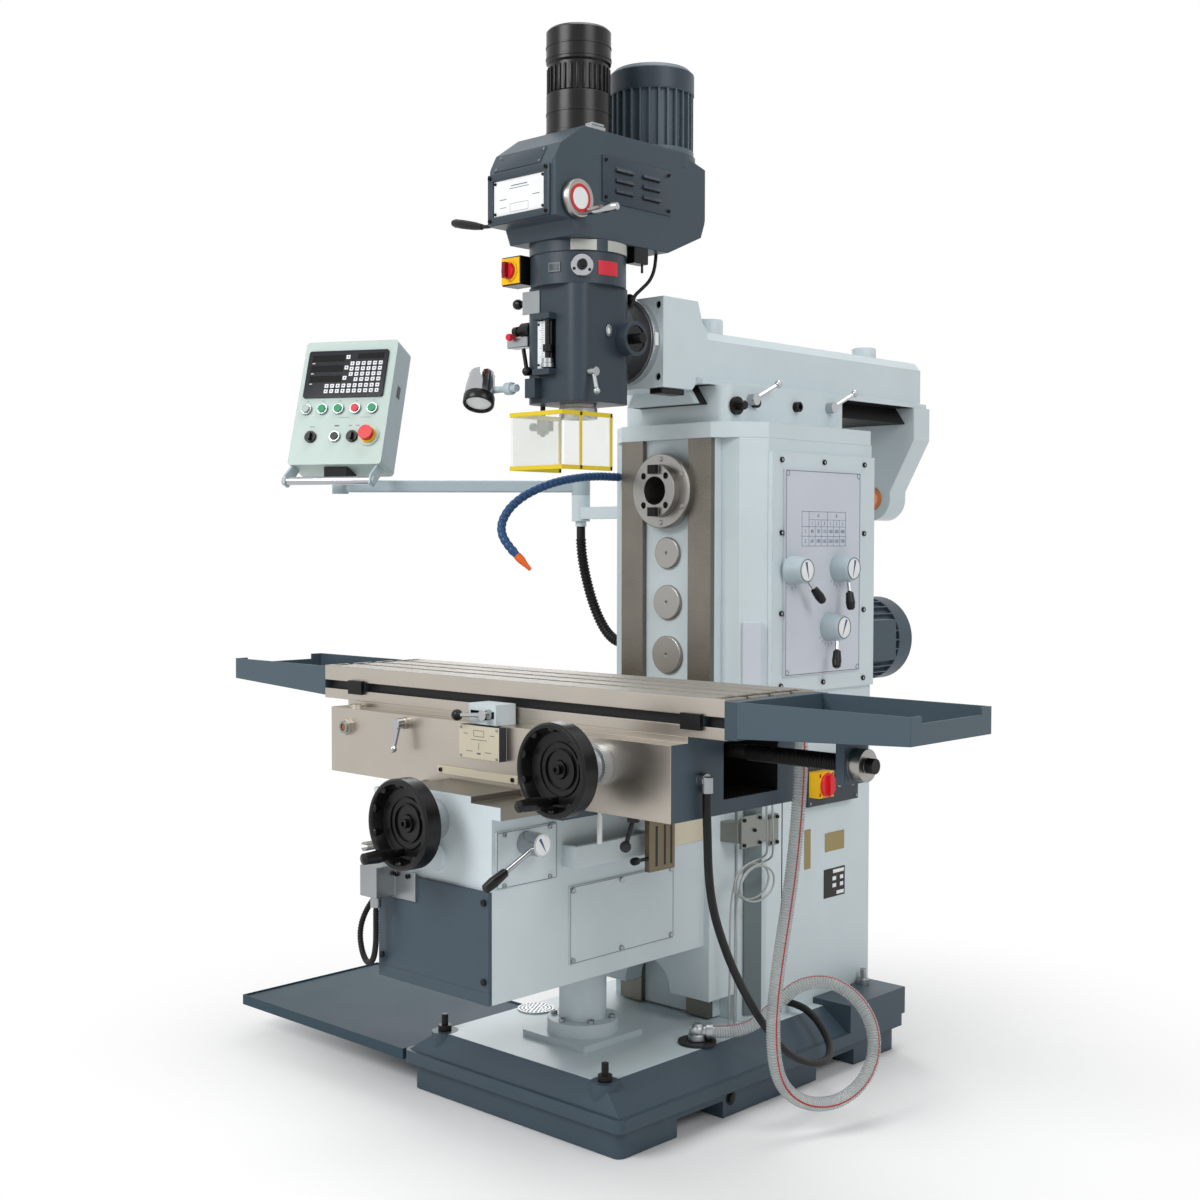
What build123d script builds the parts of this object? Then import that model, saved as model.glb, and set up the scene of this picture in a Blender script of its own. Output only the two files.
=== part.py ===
"""Universal milling machine: knee-type, horizontal spindle in the column, swivelling ram with a
vertical head. Millimetres. X runs along the table to the right, Y from the operator towards the
column, Z up. The origin is the centre of the base on the floor, under the face of the column ways."""

import math
import os

from build123d import *

# Running fits and running gaps
fit = 0.05
gap = 0.3

# Base
base_width = 710
base_length = 1090
base_height = 92
rim_height = 30
rim_overhang = 18
base_corner = 20
deck_height = 145
deck_width = 540
deck_front = -505
deck_border = 12
rear_block_front = 300
rear_block_height = 160
fork_width = 160
fork_height = 40
fork_spacing = 520
anchor_x = 262
anchor_y = 492
anchor_hole = 22
anchor_bolt = 16
anchor_pad = 64
elbow_place = (235, -150)
elbow_radius = 15
elbow_height = 26
strainer_place = (-229, -221)

# Splash tray beside the base
tray_wing_length = 670
tray_wing_depth = 460
tray_wing_rim = 26
sheet = 4

# Column
column_width = 480
column_back = base_length / 2
column_top = 1562
column_wall = 28
body_front = 42
front_width = 400
side_front = 105
way_width = 290
way_gap = 148
way_bottom = 150
column_foot = 26
strip_front = 15
disc_heights = (1283, 1161, 1031)
disc_diameters = (78, 86, 94)
disc_thickness = 10

# Horizontal spindle
spindle_height = 1436
nose_diameter = 128.57
nose_length = 40
nose_bolt_circle = 101.6
nose_bolt_hole = 16
taper_diameter = 69.85
taper_length = 102
spindle_diameter = 100
spindle_length = 330
drive_key = 25.4
flange_diameter = 185
flange_thickness = 18
cap_screw = 12

# Gear cover and its selector levers on the right side of the column
cover_front = 103
cover_back = 538
cover_bottom = 940
cover_top = 1530
cover_thickness = 14
panel_thickness = 8
panel_front_inset = 41
panel_back_inset = 75
panel_inset_z = 42
selector_places = ((168, 1242), (365, 1245), (325, 1098))
selector_angles = (-49, -96, -108)
selector_hub = 62
selector_shaft = 11
selector_hub_height = 48
selector_reach = 104

# Switch panel low on the column
switch_panel_front = 238
switch_panel_back = 455
switch_panel_bottom = 652
switch_panel_top = 762
switch_panel_depth = 26
main_switch_place = (273, 709)
main_switch_base = 64
main_switch_rise = 30
column_button_places = ((366, 707), (423, 705))
button_diameter = 22
button_bezel = 29
button_proud = 10
button_travel = 4

# Feed motor behind the column
motor_height = 1041
motor_offset = 40
motor_diameter = 232
motor_length = 345

# Elevating pedestal and screw
pedestal_place = -290
pedestal_diameter = 112
pedestal_flange = 168
pedestal_plate = 200
pedestal_top = 338
plate_thickness = 14
ring_thickness = 32
lift_screw_diameter = 50
lift_screw_bottom = 70

# Knee
knee_width = 392
knee_bottom = 346
knee_top = 752
knee_front = -748
knee_rear = -0.5
knee_wall = 26
knee_flange = 30
knee_neck = 16
knee_lip = 10
knee_slide_width = 230
knee_slide_rise = 24
knee_flange_drop = 18
skirt_bottom = 213
skirt_depth = 60
gib_depth = 36
front_cover_depth = 9
front_cover_top = 583
front_cover_bottom = 373
side_cover = (-522, -176, 388, 560)
side_cover_thickness = 4
feed_plate = (-739, -561, 586, 707)
feed_hub_place = (-656, 676)
cross_axis = (5, 716)
wheel_diameter = 194
wheel_rim = 13
hub_recess = 26
rim_depth = 40
dial_diameter = 86
dial_length = 55
cross_wheel_face = -858
crank_place = (-140, 648)
crank_shaft = 20
crank_end = -830

# Saddle and apron
saddle_length = 1094
saddle_front = -607
saddle_rear = -200
saddle_height = 156
slide_step = 13
ledge_height = knee_top + saddle_height
slide_height = ledge_height + slide_step
guide_width = 130
guide_height = 29
guide_length = 770
trough_front = -443
trough_rear = -259
trough_bottom = knee_top + 30
trough_top = ledge_height - 8
saddle_gib = 20
saddle_gib_drop = 34
traverse_axis = (350, ledge_height - 55)
traverse_wheel_face = -750

# Table
table_length = 1280
table_width = 300
table_front = -556
table_thickness = 81
table_top = slide_height + table_thickness
table_slot = 18
table_slot_pitch = 72
table_slot_head = 30
table_slot_depth = 36
dog_slot_bottom = slide_height + 24
dog_slot_top = slide_height + 45
dog_slot_depth = 18
trough_width = 28
tray_length = 392
tray_depth = 280
tray_low = slide_height + 6
tray_high = slide_height + 25
tray_rim = table_top - 3
table_end = 31
screw_height = ledge_height - 28
screw_diameter = 30
screw_left = -540
drain_place = (585, -228)
drain_bottom = slide_height - 9
bracket_left = 826
bracket_thickness = 20
bearing_diameter = 64
bearing_length = 27

# Turret and ram
turret_plate = 38
turret_pivot = 270
spigot_diameter = 180
spigot_height = 12
turret_width = 340
turret_front = 30
turret_back = 530
ram_seat = 1690
dovetail_top = 160
dovetail_bottom = 220
dovetail_depth = 45
ram_top = 1822
ram_width = 230
ram_ledge = 20
ram_back = 975
nose_block_front = -140
nose_block_top = 1888
nose_block_bottom = 1675
pinion_place = (62, 1640)
clamp_places = ((120, 1658), (448, 1658))

# Arbor support stowed at the rear of the ram
support_place = 905
support_thickness = 80
support_width = 280
support_boss = 124
bush_outer = 68
bush_inner = 44

# Vertical head
head_axis = -308
tilt_height = 1787
tilt_flange = 208
tilt_flange_thickness = 20
head_width = 184
head_depth = 185
head_bottom = 1628
head_top = 1893
collar_diameter = 222
neck_diameter = 228
collar_height = 72
neck_height = 27
quill_diameter = 84
quill_proud = 8
quill_length = 260
head_spindle_diameter = 60
head_nose_diameter = 88.88
head_nose_length = 25
head_taper = 44.45
quill_pinion_offset = 63
quill_pinion_height = 1777
quill_pinion_radius = 20
pinion_shaft = 24
housing_width = 210
housing_front = -496
housing_back = 31
housing_top = 2236
housing_wall = 8
head_motor_place = -54
head_motor_diameter = 204
head_motor_length = 209
fin_count = 28
drawbar_diameter = 150
drawbar_length = 250

# Cutter guard, lamp and coolant pipe
guard_width = 170
guard_front = -448
guard_depth = 167
guard_bottom = 1473
guard_top = 1605
guard_frame = 14
pane = 4
guard_rod = 12
lamp_knuckle = (-78, -430, 1664)
lamp_reach = 116
lamp_diameter = 74
lamp_height = 92

# Loop of the coolant return hose
loop_centre = (590, -125, 185)
loop_radius = 118
loop_turn = math.radians(43.4)
loop_start = 190
loop_step = 31
loop_count = 9
loop_drift = (-25, 180)

# Control pendant and its arm
post_place = (-410, 125)
post_diameter = 50
post_bottom = 1366
arm_height = 1460
arm_tall = 32
arm_wide = 26
pendant_place = (-909, -290, 1690)
pendant_turn = 27
pendant_lean = 20
pendant_width = 275
pendant_height = 367
pendant_depth = 90
pendant_wall = 4
pendant_front_wall = 18
swivel_diameter = 44
readout = (-122, 115, 13, 153)
lamp_button = (-106, -21)
push_places = {"pendant_start_green": (-58, -21), "pendant_coolant_green": (-10, -21),
               "pendant_stop_red": (40, -21), "pendant_feed_green": (90, -21),
               "pendant_jog_black": (-8, -103)}
selector_knob_places = {"pendant_selector_left": (-80, -103), "pendant_selector_right": (43, -103)}
stop_place = (91, -101)
stop_diameter = 40

os.makedirs("parts", exist_ok=True)


def block(x0, x1, y0, y1, z0, z1, mode=Mode.ADD):
    """A box between two corners."""
    with Locations(((x0 + x1) / 2, (y0 + y1) / 2, (z0 + z1) / 2)):
        Box(x1 - x0, y1 - y0, z1 - z0, mode=mode)


def rod(start, end, radius, mode=Mode.ADD):
    """A round bar from one point to another."""
    span = Vector(*end) - Vector(*start)
    with Locations(Plane(origin=start, z_dir=span.normalized())):
        Cylinder(radius, span.length, align=(Align.CENTER, Align.CENTER, Align.MIN), mode=mode)


def prism(plane, points, depth, mode=Mode.ADD, both=False):
    """A straight-sided outline drawn on a plane and extruded."""
    with BuildSketch(plane) as outline:
        with BuildLine():
            Polyline(*points, close=True)
        make_face()
    extrude(outline.sketch, amount=depth, both=both, mode=mode)


def turned(origin, axis, profile, mode=Mode.ADD):
    """A turned piece: (radius, distance along the axis) corners spun round the axis."""
    along = Vector(*axis)
    steady = Vector(0, 0, 1) if abs(along.Z) < 0.5 else Vector(1, 0, 0)
    radial = (steady - along * steady.dot(along)).normalized()
    with BuildSketch(Plane(origin=origin, x_dir=radial, z_dir=radial.cross(along))) as outline:
        with BuildLine():
            Polyline(*profile, close=True)
        make_face()
    revolve(outline.sketch, axis=Axis(origin, axis), mode=mode)


def lever(start, tip, shaft, grip, grip_length):
    """A round lever from its hub to its tip, turned in one piece with its grip."""
    span = Vector(*tip) - Vector(*start)
    reach = span.length
    turned(start, tuple(span.normalized()),
           [(0, 0), (shaft, 0), (shaft, reach - grip_length), (grip * 0.8, reach - grip_length * 0.94),
            (grip, reach - grip_length * 0.4), (grip * 0.85, reach - grip * 0.35), (grip * 0.5, reach), (0, reach)])


def ball_lever(start, tip, shaft, knob):
    """A round lever from its hub to a ball knob, turned in one piece."""
    span = Vector(*tip) - Vector(*start)
    reach = span.length
    low = -math.acos(shaft / knob)
    angles = [low + (math.pi / 2 - low) * k / 8 for k in range(8)]
    turned(start, tuple(span.normalized()),
           [(0, 0), (shaft, 0)] + [(knob * math.cos(angle), reach + knob * math.sin(angle)) for angle in angles]
           + [(0, reach + knob)])


def save(piece, name):
    """Label a finished piece and write it."""
    piece.part.label = name
    export_step(piece.part, f"parts/{name}.step")


def mirrored(points):
    """A half outline, right side first, closed by its mirror image."""
    return list(points) + [(-x, y) for x, y in reversed(points)]


# Places that several pieces share
column_outline = mirrored([(front_width / 2, body_front), (column_width / 2, side_front),
                           (column_width / 2, column_back)])
side = column_width / 2
column_front_foot = mirrored([(front_width / 2, body_front), (side, side_front), (side, rear_block_front)])
panel_front = side + switch_panel_depth
switch_front = panel_front + main_switch_rise
panel_face = side + cover_thickness + panel_thickness
turret_bottom = column_top
turret_deck = turret_bottom + turret_plate
collar_top = head_top + collar_height
neck_top = collar_top + neck_height
head_front = head_axis - head_depth / 2
quill_bottom = head_bottom - quill_proud
table_back = table_front + table_width
table_middle = table_front + table_width / 2
screw_place = table_middle

# Base: a casting with an overhanging rim, a raised deck and a higher rear under the column
rim_x = base_width / 2
rim_y = base_length / 2
body_x = rim_x - rim_overhang
body_y = rim_y - rim_overhang
deck_back = rear_block_front + 20
anchor_places = [(x, y) for x in (anchor_x, -anchor_x) for y in (anchor_y, -anchor_y)]

with BuildPart() as base:
    with BuildSketch():
        RectangleRounded(2 * body_x, 2 * body_y, base_corner)
    extrude(amount=base_height - rim_height)
    with BuildSketch(Plane.XY.offset(base_height - rim_height)):
        RectangleRounded(base_width, base_length, base_corner)
    extrude(amount=rim_height)
    with BuildSketch(Plane.XY.offset(base_height)):
        with Locations((0, (deck_back + deck_border - rim_y) / 2)):
            Rectangle(base_width - 2 * deck_border, deck_back + rim_y - deck_border)
    with BuildSketch(Plane.XY.offset(deck_height)):
        with Locations((0, (deck_back + deck_front) / 2)):
            Rectangle(deck_width, deck_back - deck_front)
    loft()
    block(-rim_x, rim_x, rear_block_front, rim_y, base_height, rear_block_height)
    for x, y in anchor_places:
        rod((x, y, base_height), (x, y, deck_height), anchor_pad / 2)
    for y in (-fork_spacing / 2, fork_spacing / 2):
        block(-rim_x, rim_x, y - fork_width / 2, y + fork_width / 2, 0, fork_height, mode=Mode.SUBTRACT)
    for x, y in anchor_places:
        rod((x, y, 0), (x, y, rear_block_height), anchor_hole / 2, mode=Mode.SUBTRACT)
    rod((0, pedestal_place, 0), (0, pedestal_place, deck_height), lift_screw_diameter / 2 + 3, mode=Mode.SUBTRACT)
    block(-rim_x + 40, rim_x - 40, rear_block_front + 50, rim_y - 40, fork_height + 12, rear_block_height - 25,
          mode=Mode.SUBTRACT)
    block(-rim_x + 60, rim_x - 60, -rim_y + 290, rear_block_front - 30, fork_height + 10, base_height - 10,
          mode=Mode.SUBTRACT)
save(base, "base")

with BuildPart() as base_fittings:
    for x, y in anchor_places:
        top = deck_height if y < 0 else rear_block_height
        rod((x, y, 4), (x, y, top), anchor_bolt / 2)
        rod((x, y, top), (x, y, top + 14), anchor_bolt)
        rod((x, y, top + 14), (x, y, top + 40), anchor_bolt / 2)
    x, y = elbow_place
    turn_height = deck_height + elbow_height
    rod((x, y, deck_height), (x, y, deck_height + 6), 3 * elbow_radius)
    rod((x, y, deck_height + 6), (x, y, turn_height + elbow_radius), elbow_radius + 1)
    rod((x, y, turn_height), (x + 30, y + 26, turn_height), elbow_radius)
    x, y = strainer_place
    rod((x, y, deck_height), (x, y, deck_height + 4), 46)
    block(-pedestal_plate / 2, pedestal_plate / 2, pedestal_place - pedestal_plate / 2,
          pedestal_place + pedestal_plate / 2, deck_height, deck_height + plate_thickness)
    rod((0, pedestal_place, deck_height), (0, pedestal_place, deck_height + plate_thickness + ring_thickness),
        pedestal_flange / 2)
    rod((0, pedestal_place, deck_height), (0, pedestal_place, pedestal_top), pedestal_diameter / 2)
    rod((0, pedestal_place, deck_height), (0, pedestal_place, pedestal_top), lift_screw_diameter / 2 + fit,
        mode=Mode.SUBTRACT)
save(base_fittings, "base_fittings")

# Splash tray: a shallow folded sheet that carries chips and coolant back to the sump
with BuildPart() as splash_tray:
    tray_left = -rim_x - tray_wing_length
    tray_floor = base_height - tray_wing_rim
    block(tray_left, -rim_x, -rim_y, -rim_y + tray_wing_depth, tray_floor, base_height)
    block(tray_left + sheet, -rim_x - sheet, -rim_y + sheet, -rim_y + tray_wing_depth - sheet,
          tray_floor + sheet, base_height, mode=Mode.SUBTRACT)
save(splash_tray, "splash_tray")

# Column: a hollow casting with ground ways in front and an opening for the gears on its right
with BuildPart() as column:
    prism(Plane.XY.offset(rear_block_height), column_outline, column_top - rear_block_height)
    prism(Plane.XY.offset(deck_height), column_front_foot, rear_block_height - deck_height)
    for x in (-(way_width + way_gap) / 4, (way_width + way_gap) / 4):
        half = (way_width - way_gap) / 4
        block(x - half, x + half, 0, body_front, way_bottom, column_top)
    block(-way_gap / 2, way_gap / 2, strip_front, body_front, way_bottom, column_top)
    block(-side + column_wall, side - column_wall, side_front + column_wall, column_back - column_wall,
          rear_block_height + column_foot, column_top - column_wall, mode=Mode.SUBTRACT)
    block(side - column_wall, side, cover_front + 2 * column_wall, cover_back - 2 * column_wall,
          cover_bottom + 2 * column_wall, cover_top - 2 * column_wall, mode=Mode.SUBTRACT)
    rod((0, strip_front, spindle_height), (0, side_front + column_wall, spindle_height),
        spindle_diameter / 2 + fit, mode=Mode.SUBTRACT)
    rod((0, turret_pivot, column_top - spigot_height - gap), (0, turret_pivot, column_top), spigot_diameter / 2 + fit,
        mode=Mode.SUBTRACT)
save(column, "column")

# Covers and brackets on the column: way discs, spindle flange, gear cover, switch panel, pendant post
with BuildPart() as column_covers:
    for height, diameter in zip(disc_heights, disc_diameters):
        turned((0, strip_front, height), (0, -1, 0),
               [(0, 0), (diameter / 2, 0), (diameter / 2, disc_thickness - 2),
                (diameter / 2 - 2, disc_thickness), (4, disc_thickness), (4, disc_thickness - 4),
                (0, disc_thickness - 4)])
    turned((0, 0, spindle_height), (0, -1, 0),
           [(nose_diameter / 2 + gap, 0), (flange_diameter / 2, 0), (flange_diameter / 2, flange_thickness - 3),
            (flange_diameter / 2 - 3, flange_thickness), (nose_diameter / 2 + gap, flange_thickness)])
    for k in range(6):
        angle = math.radians(60 * k + 30)
        reach = (flange_diameter + nose_diameter) / 4
        place = (reach * math.cos(angle), -flange_thickness, spindle_height + reach * math.sin(angle))
        rod(place, (place[0], place[1] - 3, place[2]), cap_screw / 2)
    block(side, side + cover_thickness, cover_front, cover_back, cover_bottom, cover_top)
    block(side + cover_thickness, panel_face, cover_front + panel_front_inset, cover_back - panel_back_inset,
          cover_bottom + panel_inset_z, cover_top - panel_inset_z)
    for y in (cover_front + 34, (cover_front + cover_back) / 2 - 8, cover_back - 49):
        for z in (cover_bottom + 20, cover_top - 20):
            rod((side + cover_thickness, y, z), (side + cover_thickness + 4, y, z), cap_screw / 2)
    for y in (cover_front + 34, cover_back - 49):
        for part_up in (1 / 3, 2 / 3):
            z = cover_bottom + (cover_top - cover_bottom) * part_up
            rod((side + cover_thickness, y, z), (side + cover_thickness + 4, y, z), cap_screw / 2)
    for y, z in selector_places:
        rod((panel_face, y, z), (panel_face - cover_thickness, y, z), selector_shaft + fit, mode=Mode.SUBTRACT)
    block(side, panel_front, switch_panel_front, switch_panel_back, switch_panel_bottom, switch_panel_top)
    y, z = main_switch_place
    block(panel_front, switch_front, y - main_switch_base / 2, y + main_switch_base / 2, z - main_switch_base / 2,
          z + main_switch_base / 2)
    rod((switch_front - 10, y, z), (switch_front, y, z), 6 + fit, mode=Mode.SUBTRACT)
    for y, z in column_button_places:
        rod((panel_front, y, z), (panel_front + 4, y, z), button_bezel / 2)
        rod((panel_front - 10, y, z), (panel_front + 4, y, z), button_diameter / 2 + fit, mode=Mode.SUBTRACT)
    x, y = post_place
    block(x, -side, y - 18, y + 18, 1372, 1404)
    rod((x, y, post_bottom), (x, y, arm_height - arm_tall / 2 - 8), post_diameter / 2)
    rod((x, y, post_bottom - 14), (x, y, post_bottom), 15)
save(column_covers, "column_covers")

with BuildPart() as horizontal_spindle:
    turned((0, 0, spindle_height), (0, 1, 0),
           [(taper_diameter / 2, -nose_length), (nose_diameter / 2, -nose_length), (nose_diameter / 2, strip_front - gap),
            (spindle_diameter / 2, strip_front - gap), (spindle_diameter / 2, spindle_length), (14, spindle_length),
            (14, taper_length - nose_length), (taper_diameter / 2 - taper_length * 3.5 / 24, taper_length - nose_length)])
    for k in range(4):
        angle = math.radians(90 * k + 45)
        x = nose_bolt_circle / 2 * math.cos(angle)
        z = spindle_height + nose_bolt_circle / 2 * math.sin(angle)
        rod((x, -nose_length, z), (x, -nose_length + 30, z), nose_bolt_hole / 2, mode=Mode.SUBTRACT)
    for sign in (-1, 1):
        middle = spindle_height + sign * (nose_bolt_circle / 2 + 1)
        block(-drive_key / 2, drive_key / 2, -nose_length - 12, -nose_length, middle - 11, middle + 11)
save(horizontal_spindle, "horizontal_spindle")

for number, ((y, z), angle) in enumerate(zip(selector_places, selector_angles), 1):
    with BuildPart() as selector:
        turn = math.radians(angle)
        tip = (panel_face + selector_hub_height, y + selector_reach * math.cos(turn),
               z + selector_reach * math.sin(turn))
        middle = (panel_face + selector_hub_height * 0.6, y, z)
        rod((panel_face - cover_thickness, y, z), (panel_face, y, z), selector_shaft)
        turned((panel_face, y, z), (1, 0, 0),
               [(0, 0), (selector_hub / 2 + 5, 0), (selector_hub / 2 + 5, 4), (selector_hub / 2, selector_hub_height - 4),
                (selector_hub / 2 - 4, selector_hub_height), (0, selector_hub_height)])
        lever(middle, tip, 5, 12, 46)
    save(selector, f"gear_lever_{number}")

with BuildPart() as main_switch:
    y, z = main_switch_place
    rod((switch_front - 10, y, z), (switch_front, y, z), 6)
    rod((switch_front, y, z), (switch_front + 8, y, z), 29)
    block(switch_front + 8, switch_front + 18, y - 7, y + 7, z - 24, z + 24)
save(main_switch, "main_switch")

for name, (y, z) in zip(("column_start_button", "column_stop_button"), column_button_places):
    with BuildPart() as button:
        rod((panel_front - 10 + button_travel + 1, y, z), (panel_front + button_proud, y, z), button_diameter / 2)
    save(button, name)

# Feed motor behind the column
with BuildPart() as drive_motor:
    turned((motor_offset, column_back, motor_height), (0, 1, 0),
           [(0, 0), (motor_diameter / 2 + 12, 0), (motor_diameter / 2 + 12, 18), (motor_diameter / 2 - 10, 18),
            (motor_diameter / 2 - 10, motor_length - 75), (motor_diameter / 2, motor_length - 75),
            (motor_diameter / 2, motor_length - 12), (motor_diameter / 2 - 12, motor_length), (0, motor_length)])
    for k in range(fin_count):
        with Locations(Plane(origin=(motor_offset, column_back + motor_length / 2 - 28, motor_height),
                             x_dir=(math.cos(2 * math.pi * k / fin_count), 0, math.sin(2 * math.pi * k / fin_count)),
                             z_dir=(0, 1, 0))):
            with Locations((motor_diameter / 2 - 9, 0, 0)):
                Box(18, 4, motor_length - 93)
    block(motor_offset + motor_diameter / 2 - 14, motor_offset + motor_diameter / 2 + 40, column_back + 70,
          column_back + 190, motor_height - 50, motor_height + 60)
save(drive_motor, "drive_motor")

# Knee: a hollow bracket, open below, that slides on the column ways
half_knee = knee_width / 2
half_neck = half_knee - knee_neck
knee_roof = knee_top - knee_flange
half_flange = half_knee + knee_lip
half_slide = knee_slide_width / 2
flange_top = knee_top + knee_lip
slide_top = knee_top + knee_slide_rise
with BuildPart() as knee:
    block(-half_neck, half_neck, knee_front, knee_rear, knee_bottom, knee_top - knee_flange_drop)
    block(-half_flange, half_flange, knee_front, knee_rear, knee_top - knee_flange_drop, flange_top)
    block(-half_slide, half_slide, knee_front, knee_rear, flange_top, slide_top)
    for sign in (-1, 1):
        inner = way_width / 2 + gap
        outer = half_knee
        low, high = sorted((sign * inner, sign * outer))
        block(low, high, knee_rear - skirt_depth, gib_depth, skirt_bottom, knee_top)
    block(-half_knee, half_knee, knee_rear - skirt_depth, knee_rear, skirt_bottom, knee_top)
    block(-half_neck + knee_wall, half_neck - knee_wall, knee_front + knee_wall, knee_rear - knee_wall,
          knee_bottom, knee_roof - knee_wall, mode=Mode.SUBTRACT)
    rod((0, knee_rear - skirt_depth, skirt_bottom), (0, knee_rear, skirt_bottom), way_gap / 2, mode=Mode.SUBTRACT)
    rod((0, pedestal_place, knee_roof - knee_wall), (0, pedestal_place, knee_roof), lift_screw_diameter / 2,
        mode=Mode.SUBTRACT)
    rod((crank_place[0], knee_front, crank_place[1]), (crank_place[0], knee_front - 30, crank_place[1]),
        crank_shaft)
    rod((crank_place[0], knee_front - 30, crank_place[1]), (crank_place[0], knee_front + 20, crank_place[1]),
        crank_shaft / 2 + fit, mode=Mode.SUBTRACT)
    rod((cross_axis[0], knee_front, cross_axis[1] - 82), (cross_axis[0], knee_front - 12, cross_axis[1] - 82), 30)
    rod((cross_axis[0], knee_front, cross_axis[1]), (cross_axis[0], knee_front + 20, cross_axis[1]), 10 + fit,
        mode=Mode.SUBTRACT)
save(knee, "knee")

with BuildPart() as knee_covers:
    block(-half_neck, half_neck, knee_front - front_cover_depth, knee_front, front_cover_bottom, front_cover_top)
    for x in (-half_neck + 14, half_neck - 14):
        for z in (front_cover_bottom + 22, front_cover_top - 22):
            rod((x, knee_front - front_cover_depth, z), (x, knee_front - front_cover_depth - 5, z), cap_screw / 2 + 1)
    y0, y1, z0, z1 = side_cover
    block(half_neck, half_neck + side_cover_thickness, y0, y1, z0, z1)
    for y in (y0 + 9, (y0 + y1) / 2 - 8, y1 - 11):
        for z in (z0 + 9, z1 - 9):
            rod((half_neck + side_cover_thickness, y, z), (half_neck + side_cover_thickness + 5, y, z), cap_screw / 2)
    y0, y1, z0, z1 = feed_plate
    block(half_neck, half_neck + side_cover_thickness, y0, y1, z0, z1)
    y, z = feed_hub_place
    rod((half_neck, y, z), (half_neck + side_cover_thickness, y, z), 9 + fit, mode=Mode.SUBTRACT)
    cover_face = knee_front - front_cover_depth
    block(-126, -48, cover_face - 6, cover_face, 530, 592)
    block(-172, -116, cover_face - 58, cover_face - 3, 535, 602)
    rod((-150, cover_face - 32, 535), (-150, cover_face - 32, 508), 12)
save(knee_covers, "knee_covers")

with BuildPart() as knee_feed_lever:
    y, z = feed_hub_place
    hub_face = half_neck + side_cover_thickness
    tip = (hub_face + 56, y - 167, z - 66)
    rod((half_neck, y, z), (hub_face, y, z), 9)
    rod((hub_face, y, z), (hub_face + 52, y, z), 25)
    lever((hub_face + 38, y, z), tip, 6, 12, 70)
save(knee_feed_lever, "knee_feed_lever")

with BuildPart() as elevating_screw:
    turned((0, pedestal_place, 0), (0, 0, 1),
           [(0, lift_screw_bottom), (lift_screw_diameter / 2, lift_screw_bottom),
            (lift_screw_diameter / 2, knee_roof - knee_wall), (lift_screw_diameter / 2, knee_roof), (0, knee_roof)])
save(elevating_screw, "elevating_screw")

with BuildPart() as knee_crank:
    x, z = crank_place
    rod((x, knee_front + 20, z), (x, crank_end, z), crank_shaft / 2)
    block(x - 14, x + 14, crank_end, crank_end + 18, z - 4, z + 4, mode=Mode.SUBTRACT)
save(knee_crank, "knee_crank")


def handwheel(name, axis_place, seat, face, handle_angle):
    """A dished handwheel with a broad rim, its graduated dial and a turning handle, facing -Y."""
    x, z = axis_place
    radius = wheel_diameter / 2
    with BuildPart() as wheel:
        turned((x, seat, z), (0, -1, 0),
               [(0, -20), (10, -20), (10, 0), (dial_diameter / 2, 0), (dial_diameter / 2, dial_length * 0.45),
                (dial_diameter / 2 - 8, dial_length * 0.5), (dial_diameter / 2 - 8, dial_length), (0, dial_length)])
        hub_length = seat - dial_length - face
        turned((x, face, z), (0, 1, 0),
               [(0, hub_recess), (18, hub_recess), (20, hub_recess + 6), (44, hub_recess + 6),
                (radius - wheel_rim - 8, hub_recess + 2), (radius - wheel_rim, 4), (radius - wheel_rim + 2, 0),
                (radius - 4, 0), (radius, 5), (radius, rim_depth), (radius - 8, rim_depth + 4),
                (radius - wheel_rim - 6, hub_recess + 14), (32, hub_recess + 18), (30, hub_length), (0, hub_length)])
        turn = math.radians(handle_angle)
        reach = radius - wheel_rim - 20
        turned((x + reach * math.cos(turn), face + hub_recess + 8, z + reach * math.sin(turn)), (0, -1, 0),
               [(0, 0), (8, 0), (8, 24), (11, 34), (14, 72), (12, 110), (0, 114)])
    save(wheel, name)


handwheel("cross_handwheel", cross_axis, knee_front, cross_wheel_face, 258)

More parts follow.
